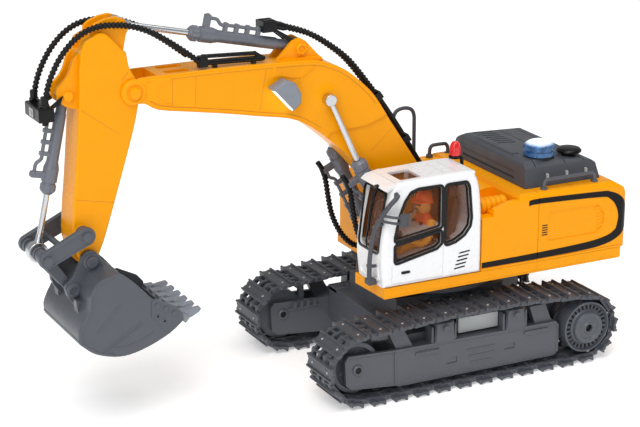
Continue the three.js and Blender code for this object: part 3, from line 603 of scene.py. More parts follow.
BLACK = moulded("black_moulding", "black_plastic", srgb(12, 12, 13), (0.22, 0.34), 0.3, 0.01, 0.1,
                edge=srgb(40, 40, 44), Specular_IOR_Level=0.25)
RUBBER = moulded("hose_rubber", "black_hose", srgb(10, 10, 11), (0.35, 0.5), 0.3, 0.02, 0.15,
                 Specular_IOR_Level=0.25)
SEAT = moulded("seat_plastic", "black_seat", srgb(34, 35, 38), (0.5, 0.62), 0.35, 0.04, 0.1)
BAND = moulded("black_band", "black_plastic", srgb(6, 6, 7), (0.3, 0.36), 0.4, 0.003, 0.05,
               Specular_IOR_Level=0.2)
# A darker yellow for painted shadow lines along the rims and across the sides.
SEAM_SHADOW = moulded("seam_shadow", "yellow_plastic", srgb(205, 128, 0), (0.5, 0.6), 0.4, 0.004, 0.1)
PLATE = moulded("light_plate", "lamp_grey", srgb(176, 180, 182), (0.35, 0.45), 0.4, 0.006, 0.03)
LAMP = moulded("lamp_moulding", "lamp_grey", srgb(128, 134, 144), (0.22, 0.34), 0.3, 0.008, 0.05,
               edge=srgb(190, 196, 204))
CIRCUIT = moulded("circuit_board_green", "circuit_green", srgb(24, 96, 52), (0.3, 0.4), 0.6, 0.02, 0.15)
CELLS = moulded("cell_wrap", "battery_wrap", srgb(48, 80, 140), (0.25, 0.35), 0.5, 0.01, 0.08)
VEST = moulded("vest_paint", "figure_plastic", srgb(238, 84, 24), (0.42, 0.55), 0.5, 0.03, 0.08)
SLEEVE = moulded("sleeve_paint", "figure_plastic", srgb(246, 160, 22), (0.42, 0.55), 0.5, 0.03, 0.08)
HELMET = moulded("helmet_paint", "figure_plastic", srgb(255, 88, 22), (0.3, 0.4), 0.5, 0.008, 0.05)
SKIN = moulded("face_paint", "figure_plastic", srgb(240, 158, 76), (0.45, 0.55), 0.5, 0.02, 0.05)


def brushed(name, slot, colour, rough, stretch):
    """Drawn or plated metal with fine lines across the stretch."""
    paint = Paint(name, slot, Metallic=1.0)
    darker = tuple(c * 0.97 for c in colour[:3]) + (1.0,)
    paint.colour(paint.mix(paint.spread(paint.noise(3.0, 3.0, stretch), 0, 1), darker, colour))
    paint.rough(*rough, 7.0)
    paint.grain(0.8, 0.001, 2.0, stretch)
    return paint.material


SILVER = brushed("plated_rod", "silver_rod", srgb(205, 207, 210), (0.2, 0.32), (1, 1, 6))
STEEL = brushed("motor_steel", "motor_case", srgb(170, 172, 176), (0.3, 0.42), (1, 6, 1))


def clear_plastic():
    """Thin brown-tinted window plastic with faint smears."""
    paint = Paint("window_tint", "tinted_window", Alpha=0.13, IOR=1.45)
    paint.cloudy(srgb(150, 84, 40), srgb(176, 104, 52), 18.0)
    paint.rough(0.04, 0.12, 9.0)
    return paint.material


def lens(name, slot, colour, deep, glow, strength):
    """Coloured lens plastic lit from inside, paler towards its top."""
    paint = Paint(name, slot, Coat_Weight=0.6, Coat_Roughness=0.05, Emission_Strength=strength)
    paint.cloudy(deep, colour, 4.0)
    paint.rough(0.06, 0.14, 5.0)
    split = paint.add("ShaderNodeSeparateXYZ")
    paint.link(paint.place, split.inputs[0])
    low, high = glow[0]
    rise = paint.spread(split.outputs[2], 0, 1, low, high)
    paint.link(paint.mix(rise, (0, 0, 0, 1), glow[1]), paint.shader.inputs["Emission Color"])
    paint.grain(1.2, 0.02)
    return paint.material


GLASS = clear_plastic()
RED_LENS = lens("red_beacon_lens", "red_lens", srgb(235, 28, 30), srgb(190, 10, 18),
                ((176, 196), srgb(255, 40, 40)), 0.25)
BLUE_LENS = lens("blue_beacon_lens", "blue_lens", srgb(46, 110, 170), srgb(14, 60, 105),
                 ((177.6, 180), srgb(235, 245, 255)), 1.4)
GLOW = lens("lamp_glow", "lamp_grey", srgb(250, 250, 250), srgb(235, 238, 240),
            ((200, 230), srgb(255, 252, 240)), 1.5)

# ---- camera, light and floor -----------------------------------------------------------------

CAMERA_PLACE = (-0.6908, -1.3450, 0.6238)
CAMERA_VIEW = (0.4329, 0.8471, -0.3085)
CAMERA_LENS = 112.4


def make_camera():
    data = bpy.data.cameras.new("camera")
    data.lens = CAMERA_LENS
    made = bpy.data.objects.new("camera", data)
    made.location = CAMERA_PLACE
    made.rotation_euler = Vector(CAMERA_VIEW).to_track_quat("-Z", "Y").to_euler()
    bpy.context.scene.collection.objects.link(made)
    bpy.context.scene.camera = made


def sun(name, direction, strength, spread):
    """Even light from far away that travels along the direction."""
    data = bpy.data.lights.new(name, "SUN")
    data.energy = strength
    data.angle = math.radians(spread)
    made = bpy.data.objects.new(name, data)
    made.rotation_euler = Vector(direction).to_track_quat("-Z", "Y").to_euler()
    bpy.context.scene.collection.objects.link(made)


def softbox(name, place, size, power):
    """A square lamp that faces the middle of the machine."""
    data = bpy.data.lights.new(name, "AREA")
    data.shape = "SQUARE"
    data.size = size
    data.energy = power
    made = bpy.data.objects.new(name, data)
    made.location = place
    made.rotation_euler = (Vector((0, 0, 0.12)) - Vector(place)).to_track_quat("-Z", "Y").to_euler()
    bpy.context.scene.collection.objects.link(made)


def make_studio():
    world = bpy.data.worlds.new("studio")
    world.use_nodes = True
    world.node_tree.nodes["Background"].inputs["Color"].default_value = (1.0, 1.0, 1.0, 1.0)
    world.node_tree.nodes["Background"].inputs["Strength"].default_value = 0.42
    bpy.context.scene.world = world
    bpy.context.scene.view_settings.view_transform = "Standard"
    sun("key", (0.35, 0.45, -0.8), 1.35, 32)
    softbox("side_fill", (-1.3, -1.0, 0.7), 0.9, 5)
    softbox("top_gloss", (0.3, -0.2, 1.5), 0.8, 5)
    mesh = bpy.data.meshes.new("floor")
    half = 6.0
    mesh.from_pydata([(-half, -half, 0), (half, -half, 0), (half, half, 0), (-half, half, 0)], [],
                     [(0, 1, 2, 3)])
    floor = bpy.data.objects.new("floor", mesh)
    bpy.context.scene.collection.objects.link(floor)
    pale = bpy.data.materials.new("pale_floor")
    pale.use_nodes = True
    surface = pale.node_tree.nodes["Principled BSDF"]
    surface.inputs["Base Color"].default_value = (0.93, 0.93, 0.93, 1)
    surface.inputs["Roughness"].default_value = 0.6
    surface.inputs["Emission Color"].default_value = (1, 1, 1, 1)
    surface.inputs["Emission Strength"].default_value = 0.35
    mesh.materials.append(pale)


make_camera()
make_studio()

# ---- hoses -----------------------------------------------------------------------------------

HOSE_RADIUS = 2.6
RIB_PITCH = 3.2
RIB_HEIGHT = 0.9
PLAIN_RADIUS = 2.2
BACK_HOSE_Y = 3
STICK_HOSE_Y = 12
FOOT_HOSE_Y = 21.4

BACK_ROUTE = [(-147, 290), (-138, 291), (-126, 288), (-108, 281.5), (-91, 271), (-74, 257), (-56, 235),
              (-44, 219), (-31, 200), (-19, 181), (-9, 165), (-1, 152)]
STICK_ROUTE = [(-205, 272), (-220, 283.5), (-237, 295), (-250, 301.5), (-261, 305), (-272, 306.6),
               (-283, 306.8), (-294, 304), (-304, 297.6), (-313, 288), (-320, 276.5), (-324.5, 265),
               (-327, 252)]
FOOT_ROUTE = [(-89, 169.5), (-85.5, 164), (-82, 154), (-79.5, 139), (-76.5, 125), (-71.5, 113), (-65, 103),
              (-57, 95.5), (-49, 92.8), (-45.5, 92.6)]


def hose(name, route, y, ribbed, joins):
    """A pressure hose, ribbed over a share of its length; joins are its bodies."""
    step = RIB_PITCH / 5
    places = even_steps(smooth_path([(x, y, z) for x, z in route], 10), step)
    radii = []
    for i in range(len(places)):
        if ribbed[0] < i / len(places) < ribbed[1]:
            radii.append(HOSE_RADIUS - RIB_HEIGHT * (0.5 - 0.5 * math.cos(2 * math.pi * i / 5)))
        else:
            radii.append(PLAIN_RADIUS)
    form = Form().tube(places, radii, 10)
    made = form.to_object(name + "_ribbed")
    made.data.transform(Matrix.Translation((SLEW_X, 0, 0)) @ Matrix.Scale(0.001, 4))
    shade(made, 60)
    made.data.materials.append(RUBBER)
    if len(joins) == 1:
        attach(made, joins[0])
    else:
        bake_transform(made)
    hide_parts(name)


def make_hoses():
    for side, sign in SIDES:
        hose(f"hose_back_{side}", BACK_ROUTE, sign * BACK_HOSE_Y, (0.06, 0.58), ["boom"])
        hose(f"hose_stick_{side}", STICK_ROUTE, sign * STICK_HOSE_Y, (0.02, 1),
             ["boom", "stick", (-232, 0, 292), (-288, 0, 292)])
        hose(f"hose_foot_{side}", FOOT_ROUTE, sign * FOOT_HOSE_Y, (0.14, 1),
             [f"boom_barrel_{side}", "house", (-80, 0, 145), (-58, 0, 100)])


make_hoses()


# ---- undercarriage ---------------------------------------------------------------------------

TRACK_GAUGE = 132.8
FRAME_FACE = 78.2                  # the outer face of the long side cover, off the middle plane
TRACK_WIDTH = 42.3
TRACK_LINKS = 30
PITCH_RADIUS = 26
UPPER_RUN = [(44, 61), (-30, 61)]
PAD_TOP = 3.0
SPROCKET_TEETH = 9
HUB_NOTCHES = 28
HUB_STUDS = 14
GROUSER_TIP = 4.5


def track_route():
    """The closed path of the link pins in side view, anticlockwise from the bottom of the sprocket."""
    rear = arc(SPROCKET_AXLE, PITCH_RADIUS, -90, 90, 24)
    front = arc(IDLER_AXLE, PITCH_RADIUS, 90, 270, 24)
    return [Vector((x, 0, z)) for x, z in rear + UPPER_RUN + front + rear[:1]]


def track_link():
    """One link: a pad with two grouser bars and the hinge bars of its inside. x runs along the track."""
    half = TRACK_WIDTH / 2
    form = Form()
    scallop = [(-5.85, -half + 1.2), (-4.2, -half), (-1.6, -half), (-0.8, -half + 0.9), (0.8, -half + 0.9),
               (1.6, -half), (4.2, -half), (5.85, -half + 1.2)]
    pad = scallop + [(x, -y) for x, y in scallop[::-1]]
    form.slab(pad, 0.4, PAD_TOP, "plan", 0.6, 2)
    for x in (-4.7, 4.7):
        bar = rectangle(x - 0.95, x + 0.95, -half + 0.5, half - 0.5)
        form.slab(bar, PAD_TOP - 0.4, GROUSER_TIP, "plan", 0.45, 2, taper=0.2)
    for y in (-9.4, 9.4):
        form.block((-3.4, 3.4), (y - 1.0, y + 1.0), (PAD_TOP - 0.3, PAD_TOP + 0.25), 0.2)
    for sign in (-1, 1):
        for middle, width in ((15.2, 4.6), (4.6, 5.6)):
            knuckle = stadium((-9.74, 0.2), 1.9, (0, 0.4), 1.9, 6)
            tongue = stadium((0, 0.4), 1.9, (9.74, 0.2), 1.9, 6)
            near, far = off_middle(sign, middle - width / 2, middle + width / 2)
            third = (far - near) / 3
            form.slab(knuckle, near + third * 0.05, far - third, "side", 0.3, 2)
            form.slab(tongue, near + third, far - third * 0.05, "side", 0.3, 2)
        form.rod((9.74, sign * 2.0, 0.2), (9.74, sign * 18.4, 0.2), 1.3, 0.3, 10)
    return form


def make_tracks():
    link = track_link()
    route = track_route()
    total = sum((b - a).length for a, b in zip(route, route[1:]))
    pitch = total / TRACK_LINKS
    stations = even_steps(route, pitch / 8)
    for side, sign in SIDES:
        belt, rivets = Form(), Form()
        for i in range(TRACK_LINKS):
            here = stations[(i * 8) % len(stations)]
            behind = stations[(i * 8 - 4) % len(stations)]
            ahead = stations[(i * 8 + 4) % len(stations)]
            along = (ahead - behind).normalized()
            out = Vector((along.z, 0, -along.x))
            across = out.cross(along)
            here = (ahead + behind) / 2 if (ahead - behind).length < pitch * 0.995 else here
            turn = Matrix((along, across, out)).transposed().to_4x4()
            turn.translation = here + Vector((0, sign * TRACK_GAUGE / 2, 0))
            belt.join(link, turn)
            for y in (-12.6, 12.6):
                rivets.turned(turn @ Vector((0, y, PAD_TOP - 0.4)), turn @ Vector((0, y, PAD_TOP + 2)),
                              [(0, 1.0), (0.6, 1.0), (0.9, 0.7), (1.0, 0.3)], 10)
        piece(f"track_{side}_links", belt, TRACK, "undercarriage", [f"track_{side}"])
        piece(f"track_{side}_rivets", rivets, PLATE, "undercarriage")


def across_axle(axle, y):
    return (axle[0], y, axle[1])


def wheel_way(i, count):
    """The direction of the i-th of count spokes in side view."""
    turn = 2 * math.pi * i / count
    return Vector((math.cos(turn), 0, math.sin(turn)))


def make_sprocket(side, sign):
    form = Form()
    profile = [(0, 17), (0, 20.4), (0.6, 21.2), (5.8, 21.2), (6.2, 20.6), (6.2, 19.4), (12.2, 19.4),
               (12.2, 20.6), (12.6, 21.2), (25.0, 21.7), (25.7, 21.2), (25.8, 20.2), (24.6, 19.6),
               (23.6, 18.8), (23.6, 15.4), (24.8, 14.8), (25.2, 13.8), (27.6, 13.5), (28.6, 12.9),
               (29.0, 12.2), (29.0, 9.4), (28.2, 8.9), (28.2, 5.2), (28.9, 4.6), (28.9, 3.3), (26.2, 3.2)]
    form.boss(SPROCKET_AXLE, sign, 58, profile, 56)
    # Black marks painted as the shade in the hub's notches, and a black disc as the shade at the bottom of
    # its centre hole.
    notch_shade = Form()
    for i in range(HUB_NOTCHES):
        middle = wheel_way(i, HUB_NOTCHES)
        here = Vector(across_axle(SPROCKET_AXLE, sign * 81.9)) + middle * 17.1
        notch_shade.rod(here - middle * 1.4, here + middle * 1.4, 0.8, 0.2, 8)
    notch_shade.rod(across_axle(SPROCKET_AXLE, sign * 83), across_axle(SPROCKET_AXLE, sign * 84.4), 3.3, 0.2, 24)
    for i in range(HUB_STUDS):
        here = Vector(across_axle(SPROCKET_AXLE, sign * 86.0)) + wheel_way(i, HUB_STUDS) * 11.2
        form.rod(here, here + Vector((0, sign * 1.4, 0)), 0.95, 0.3, 10)
    teeth = []
    for i in range(SPROCKET_TEETH):
        for angle, radius in ((-11, 20.6), (-5.5, 23.2), (5.5, 23.2), (11, 20.6)):
            turn = math.radians(360 / SPROCKET_TEETH * i + angle)
            teeth.append((SPROCKET_AXLE[0] + radius * math.cos(turn),
                          SPROCKET_AXLE[1] + radius * math.sin(turn)))
    middle = sign * TRACK_GAUGE / 2
    form.slab(teeth, middle - 1.7, middle + 1.7, "side", 0.3, 2)
    form.rod(across_axle(SPROCKET_AXLE, sign * 50), across_axle(SPROCKET_AXLE, sign * 59), 3)
    piece(f"sprocket_{side}_wheel", form, LINK, f"sprocket_{side}", [f"sprocket_{side}"])
    piece(f"sprocket_{side}_notches", notch_shade, BLACK, f"sprocket_{side}")


def make_idler(side, sign):
    form = Form()
    profile = [(0, 15), (0, 20.2), (0.5, 20.8), (5.6, 20.8), (6.1, 20.2), (6.1, 17.6), (10.5, 17.6),
               (10.5, 20.2), (11, 20.8), (16, 20.8), (16.5, 20.2), (16.5, 17.4), (14.2, 16.6), (13.4, 14.8),
               (13.4, 7.6), (14.6, 6.8), (16.4, 6.4), (16.4, 3)]
    form.boss(IDLER_AXLE, sign, 58, profile, 56)
    form.rod(across_axle(IDLER_AXLE, sign * 54), across_axle(IDLER_AXLE, sign * 75.4), 3)
    for i in range(6):
        turn = math.radians(60 * i + 20)
        x = IDLER_AXLE[0] + 11.3 * math.cos(turn)
        z = IDLER_AXLE[1] + 11.3 * math.sin(turn)
        form.rod((x, sign * 70.6, z), (x, sign * 72.2, z), 2.2, 0.4, 16)
    piece(f"idler_{side}_wheel", form, LINK, f"idler_{side}", [f"idler_{side}"])


RING = [(0, 4.4), (1.3, 4.4), (1.9, 3.8), (1.9, 2.8), (0.9, 2.6)]


def make_track_frame(side, sign):
    """The long side cover with its brackets, fins, ribs and bolts."""
    form = from_node(f"track_frame_{side}", 0.5, 2, flat=2)
    outer = sign * FRAME_FACE

    def relief(points, height, bevel=0.3, sunk=0.6):
        low, high = sorted((outer - sign * sunk, outer + sign * height))
        form.slab(points, low, high, "side", bevel, 2)

    for x0, x1, z in ((-6, 20, 28.5), (-4, 19, 23), (-2, 17, 17.5)):
        relief(stadium((x0, z), 0.6, (x1, z), 0.6, 6), 0.7)
    for x0, x1, z0, z1 in ((-25, -15, 19.5, 25), (29, 39, 22, 27.4)):
        form.carve(Form().flank(rectangle(x0, x1, z0, z1), sign, 77.5, 80))
        relief([(x0, z0 - 0.3), (x1, z0 - 0.3), (x1, z0 + 0.4), (x0, z0 + 0.4)], 0.3, 0.1)
    for x0, x1, z in ((-52, -33, 33.4), (49, 69, 33.4)):
        relief(stadium((x0, z), 1.7, (x1, z), 1.7, 8), 1.4, 0.6)
        for i in range(7):
            x = x0 + (x1 - x0) * (i + 0.5) / 7
            form.rod((x, outer + sign * 0.6, z + 0.7), (x, outer + sign * 1.9, z + 0.7), 0.75, 0.2, 8)
    for x0 in (-36, 30):
        cheek = [(x0 + 0.6, 40), (x0 + 17.4, 40), (x0 + 16.4, 55.6), (x0 + 1.6, 55.6)]
        relief(rounded(cheek, 1.0, 3), 1.1, 0.4)
        form.hex_bolt((x0 + 9.2, outer + sign * 1.0, 51.4), (0, sign, 0), 2.8, 1.8, washer=4.0)
        for x in (x0 - 2.6, x0 + 18.2):
            low, high = off_middle(sign, 66, 77.4)
            form.slab([(x, 38), (x + 2.4, 38), (x + 2.0, 53), (x + 0.4, 53)], low, high, "side", 0.5, 2)
    for points in ([(-66.4, 37.4), (79.6, 35.6)], [(-67, 11), (76, 11)], [(-110, 16), (-72, 13)],
                   [(-112, 39.4), (-74, 37.6)]):
        relief(ribbon(points, 0.9), 0.4, 0.2, 0.3)
    for i in range(28):
        x = -66 + 5.1 * i
        relief(rectangle(x, x + 3, 12.6, 13.3), 0.3, 0.1, 0.2)
    relief(ribbon([(-72, 38.6), (-71.2, 12)], 1.5), 1.0, 0.4)
    relief(ribbon([(79.2, 35), (79.2, 12)], 1.2), 0.5, 0.2)
    form.boss((IDLER_AXLE[0], 29.6), sign, FRAME_FACE - 0.3, RING, 28)
    form.turned((IDLER_AXLE[0], sign * 54.3, 31.4), (IDLER_AXLE[0], sign * 50, 31.4), RING, 28)
    for x in (-95, -89, -83, -77):
        form.block((x - 1.2, x + 1.2), off_middle(sign, 50.4, 54.4), (35.5, 41.5), 0.6)
    form.block((-100, -71), off_middle(sign, 52.6, 54.4), (33.6, 35.8), 0.6)
    for x in (-60, -35, -10, 15, 40, 62):
        form.boss((x, 13.6), sign, 59, [(0, 4.6), (0.5, 5.4), (6, 5.4), (6.4, 4.4), (8.6, 4.4), (9, 5.4),
                                        (14.5, 5.4), (15, 4.6)], 20)
    form.boss((-86, 51.5), sign, 61, [(0, 2.8), (0.4, 3.4), (10.6, 3.4), (11.4, 2.6)], 18)
    form.block((-88, -84), off_middle(sign, 57, 62), (40, 53), 0.4)
    piece(f"track_frame_{side}_cover", form, GREY, "undercarriage", [f"track_frame_{side}"])
    # Black discs painted in the ring openings as the shade inside the holes.
    hole = Form()
    hole.rod((IDLER_AXLE[0], outer - sign * 0.2, 29.6), (IDLER_AXLE[0], outer + sign * 0.9, 29.6),
             2.75, 0.1, 24)
    hole.rod((IDLER_AXLE[0], sign * 54.2, 31.4), (IDLER_AXLE[0], sign * 53.3, 31.4), 2.75, 0.1, 24)
    piece(f"track_frame_{side}_hole_shade", hole, BLACK, "undercarriage")
    plate = Form()
    low, high = off_middle(sign, 66, 70.6)
    plate.slab(rounded(rectangle(-10, 27, 40.6, 53.4), 0.8, 3), low, high, "side", 0.5, 2)
    piece(f"track_frame_{side}_plate", plate, PLATE, "undercarriage")


def make_chassis():
    form = from_node("chassis_frame", 0.5)
    for i in range(24):
        turn = 2 * math.pi * i / 24
        form.hex_bolt((51 * math.cos(turn), 51 * math.sin(turn), 74.8), (0, 0, 1), 1.5, 0.1)
    form.turned((0, 0, 71.2), (0, 0, 75), [(0, 57.0), (0.4, 57.6), (1.0, 57.6), (1.2, 56.9), (2.2, 56.9),
                                           (2.4, 57.6), (3.0, 57.6), (3.4, 57.0)], 72)
    for sign in (-1, 1):
        for x in (-47, 47):
            form.block((x - 15, x + 15), off_middle(sign, 40, 54), (46, 51.4), 1.2)
            form.hex_bolt((x, sign * 47, 51.2), (0, 0, 1), 2.6, 1.8, washer=3.8)
    for y in (-28, -14, 14, 28):
        form.block((50, 52.8), (y - 1.2, y + 1.2), (20, 50), 0.5)
    piece("chassis_body", form, GREY, "undercarriage", ["chassis_frame"])
    for side, sign in SIDES:
        motor = from_node(f"drive_motor_{side}", 0.8)
        motor.rod((SPROCKET_AXLE[0], sign * 44.4, 30.5), (SPROCKET_AXLE[0], sign * 41, 30.5), 11, 1.2, 32)
        for x in (76, 84, 92):
            motor.block((x - 1, x + 1), off_middle(sign, 40.6, 43), (23, 38), 0.4)
        piece(f"drive_motor_{side}_case", motor, DARK, "undercarriage", [f"drive_motor_{side}"])
    door = from_node("battery_door", 0.3)
    piece("battery_door_cover", door, DARK, "undercarriage", ["battery_door"])
    cells = from_node("battery_pack", 0.0)
    piece("battery_pack_cells", cells, CELLS, "undercarriage", ["battery_pack"])
    knob = from_node("power_switch", 0.3)
    piece("power_switch_knob", knob, BLACK, "power_switch", ["power_switch"])


make_tracks()
for side, sign in SIDES:
    make_sprocket(side, sign)
    make_idler(side, sign)
    make_track_frame(side, sign)
make_chassis()

# ---- boom ------------------------------------------------------------------------------------

BOOM_HALF = 16.4
BOOM_LOWER_HALF = 14.6
EAR_SPAN = (4.6, 8.2)              # the cylinder ears, off the middle plane
HALF_GAP = 0.15                    # from the middle plane to each moulded half
STICK_HALF = 13.4
FORK_X = -240
BOOM_CYLINDER_PIN = (-100.5, 232.5)
BOOM_CYLINDER_Y = 21.4
STICK_CYLINDER_PIN = (-266, 305)
LINK_PIN = (-313, 110.5)

BOOM_SIDE = (arc(STICK_PIVOT, 10, 70, 250, 14)
             + [(-251, 246), (-240, 240), (-212, 235), (-183, 230), (-158, 225), (-132, 220), (-115, 212),
                (-98, 199), (-77, 180), (-52, 152), (-28, 128), (-8, 110)]
             + arc(BOOM_FOOT, 12, 230, 394, 16)
             + [(-21, 174), (-43, 207), (-58, 230), (-72, 244), (-85, 254), (-98, 260), (-108, 263),
                (-124, 264.5), (-182, 266), (-247, 266)])
BOOM_WAIST = [(-120, 160), (-97, 205), (-64, 207), (-40, 216), (40, 200), (40, 90), (-60, 90)]
CYLINDER_EARS = [(-142, 262), (-130, 274), (-126, 279), (-119, 280.5), (-114, 277.5), (-110, 273), (-96, 258)]


def side_relief(form, sign, surface, points, height, bevel=0.3, sunk=0.5):
    """A raised shape on a side face that stands at the distance surface from the middle plane."""
    low, high = off_middle(sign, surface - sunk, surface + height)
    form.slab(points, low, high, "side", bevel, 2)


def side_bolt(form, sign, centre, surface, radius, height, washer=0.0):
    form.hex_bolt(across_axle(centre, sign * surface), (0, sign, 0), radius, height, washer)


def make_boom_half(side, sign):
    outline = anticlockwise(curved(BOOM_SIDE, 50, 3))
    form = Form().flank(outline, sign, -4, BOOM_HALF, 1.3, 3)
    form.carve(Form().block((-300, 60), off_middle(sign, -6, HALF_GAP), (80, 330), 0))
    form.carve(Form().flank(BOOM_WAIST, sign, BOOM_LOWER_HALF, BOOM_HALF + 4))
    form.carve(Form().block((-290, FORK_X), off_middle(sign, -1, STICK_HALF + 0.3), (225, 290), 0))
    channel = rounded(rectangle(-232, -212, 4, 11.5), 2.5, 4)
    form.carve(Form().slab([(x, sign * y) for x, y in channel], 261.5, 280, "plan"))
    trim = Form().rim(inset(outline, 1.5), 1.7, *off_middle(sign, BOOM_HALF - 0.8, BOOM_HALF + 0.55))
    keep_off = [(-150, 150), (-120, 203), (-92, 216), (-60, 224), (-30, 226), (60, 200), (60, 80), (-60, 80)]
    trim.carve(Form().flank(keep_off, sign, 10, 30))
    trim.carve(Form().flank(circle(STICK_PIVOT, 12.5), sign, 10, 30))
    form.join(trim)
    tip = [(-229, 263.6), (-233.4, 259.8), (-238.8, 259.2), (-242, 254.7), (-240.6, 249.3), (-234.7, 244.8),
           (-229.2, 243.2), (-240, 245.6), (-249, 248.6), (-249, 262.2), (-240, 264)]
    side_relief(form, sign, BOOM_HALF, tip, 0.5, 0.2)
    form.boss(STICK_PIVOT, sign, BOOM_HALF - 0.6,
              [(0, 9.0), (0.9, 9.0), (1.4, 8.4), (1.4, 6.6), (0.9, 6.2), (0.9, 5.0)], 36)
    form.boss(BOOM_CYLINDER_PIN, sign, BOOM_HALF - 1,
              [(0, 13.2), (1.0, 12.4), (1.3, 11.2), (1.6, 9.6), (2.1, 7.8), (2.35, 6.0), (2.35, 3)], 40)
    cable = [(-143.7, 259), (-140.7, 255.4), (-131, 253), (-122.2, 252.1), (-116, 256.3), (-110.2, 259.5)]
    side_relief(form, sign, BOOM_HALF, ribbon(cable, 1.0), 0.7, 0.3)
    side_relief(form, sign, BOOM_HALF, ribbon([(-122.2, 252.1), (-124.6, 247)], 1.0), 0.7, 0.3)
    side_relief(form, sign, BOOM_HALF, [(-146.5, 254), (-142.5, 254.6), (-143.5, 262), (-147, 261.6)],
                0.8, 0.3)
    side_relief(form, sign, BOOM_HALF, stadium((-141.4, 256), 1.4, (-140.4, 256), 1.4, 6), 1.1, 0.3)
    ears = Form().flank(rounded(CYLINDER_EARS, 3, 4), sign, *EAR_SPAN, 0.6, 2)
    form.join(ears)
    form.flank([(-136, 262), (-100, 262), (-103, 265.4), (-133, 265.8)], sign, 7.8, 11, 0.5, 2)
    form.hex_bolt(across_axle(STICK_CYLINDER_BASE, sign * 8.0), (0, sign, 0), 4.8, 2.8, 5.6, 3.2)
    form.boss(BOOM_FOOT, sign, 13.6, [(0, 9.6), (0.9, 9.6), (1.3, 9.0), (1.3, 3)], 36)
    piece(f"boom_{side}_casting", form, YELLOW, "boom", [f"boom_{side}_half"], sharp=34)
    make_boom_shadow_lines(side, sign, outline, keep_off)


def make_boom_shadow_lines(side, sign, outline, keep_off):
    """The thin darker lines inside the rim and across the boom's side, painted shadow lines."""
    shadow_lines = Form().rim(inset(outline, 3.2), 0.5, *off_middle(sign, BOOM_HALF - 0.3, BOOM_HALF + 0.08))
    shadow_lines.carve(Form().flank(keep_off, sign, 10, 30))
    shadow_lines.carve(Form().flank(circle(STICK_PIVOT, 13.5), sign, 10, 30))
    for path in ([(-229, 264.2), (-229.2, 242.4)], [(-209.6, 265.4), (-211, 236.4)],
                 [(-151.5, 263.8), (-158, 227.4)]):
        shadow_lines.flank(ribbon(path, 0.4), sign, BOOM_HALF - 0.3, BOOM_HALF + 0.06)
    low, high = off_middle(sign, BOOM_LOWER_HALF - 0.3, BOOM_LOWER_HALF + 0.06)
    shadow_lines.slab(ribbon([(-41.5, 201), (-60, 184.6)], 0.4), low, high, "side")
    piece(f"boom_{side}_seams", shadow_lines, SEAM_SHADOW, "boom")


def make_boom_fittings():
    pin = from_node("stick_pivot_pin", 0.3)
    for sign in (-1, 1):
        side_bolt(pin, sign, STICK_PIVOT, 16.8, 4.6, 2.4, 5.4)
    piece("stick_pivot_pin_caps", pin, YELLOW, "boom", ["stick_pivot_pin"])
    guard = Form()
    corners = [(-201.6, -11, 275.6), (-159, -11, 273.6), (-151.8, -11, 269), (-199.4, -11, 270.6)]
    for a, b, radius in zip(corners, corners[1:] + corners[:1], (1.6, 1.6, 2.2, 1.6)):
        guard.rod(a, b, radius, 0.2, 14)
        guard.ball(b, (1.8, 1.8, 1.8), 10, 14)
    guard.block((-206, -198.6), (-14.6, -8.4), (267.6, 276.4), 1.0, "side")
    for x in (-192, -160):
        guard.block((x - 1.6, x + 1.6), (-12.6, -9.2), (264.6, 269), 0.5)
    piece("hose_guard_bars", guard, BLACK, "boom", ["hose_guard"])
    block = Form()
    block.block((-149.5, -138), (-7.6, 7.6), (287, 295.4), 1.0, "side")
    strut = [(-141, 288.4), (-137.4, 288.4), (-122, 279), (-120, 276), (-126, 276.4)]
    for y in (-5.6, 5.6):
        block.slab(strut, y - 0.8, y + 0.8, "side", 0.3, 2)
    for y in (-3, 3):
        block.rod((-138, y, 291.2), (-129.5, y, 289.0), 2.9, 0.4, 20)
        block.block((-148, -139), (y - 1.8, y + 1.8), (294.8, 296), 0.4)
    for x, z, turn in ((-48.6, 225.8, 0.93), (-22.8, 187.6, 1.0)):
        clamp = Form().block((-3.2, 3.2), (-6.8, 6.8), (-3.1, 3.1), 0.9)
        block.join(clamp, Matrix.Translation((x, 0, z)) @ Matrix.Rotation(turn, 4, "Y"))
    piece("hose_back_block", block, BLACK, "boom")
    make_work_light()


def make_work_light():
    """The lamp under the boom: a faceted housing, a hooded rim and a bright lens facing down."""
    low, high = -25.5, -16.7
    shell = [(-149.5, 246.6), (-138.6, 252.4), (-131, 250), (-126.2, 241.6), (-126.4, 233.6), (-132.6, 228.4)]
    form = Form().slab(rounded(shell, [0.6, 1.6, 2, 2.4, 2, 1], 4), low, high, "side", 1.8, 3)
    hood = [(-151, 247.2), (-139.6, 253.4), (-133, 250.8), (-134.2, 248.6), (-139.8, 251), (-149.4, 245.4)]
    form.slab(hood, low + 0.6, high, "side", 0.4, 2)
    piece("work_light_housing", form, LAMP, "boom", ["work_light"])
    lens_form = Form().slab([(-148.6, 244.9), (-133.6, 228.4), (-132.6, 229.6), (-147.6, 246.2)], low + 1.4,
                            high - 1.0, "side", 0.4, 2)
    piece("work_light_lens", lens_form, GLOW, "boom")


# ---- stick -----------------------------------------------------------------------------------

STICK_SIDE = (arc(BUCKET_PIN, 6.6, 180, 360, 14)
              + [(-285, 145), (-273, 182), (-259, 227)]
              + arc(STICK_PIVOT, 8, -50, 50, 10)
              + [(-261, 274), (-263, 285), (-266, 288), (-277, 300), (-283, 302), (-288, 300), (-298, 290),
                 (-302, 240), (-306, 195), (-309, 168), (-310, 145)])
TOP_EARS = [(-290, 294), (-289, 305), (-285, 308), (-277, 311), (-269, 312), (-264, 310), (-260, 306),
            (-259, 302), (-261, 298), (-264, 284), (-275, 284)]
FRONT_EARS = [(-297, 290), (-303, 284), (-306, 275), (-309, 270), (-313, 266), (-316, 264), (-317, 260),
              (-316, 255), (-314, 252), (-309, 248.5), (-299, 245)]


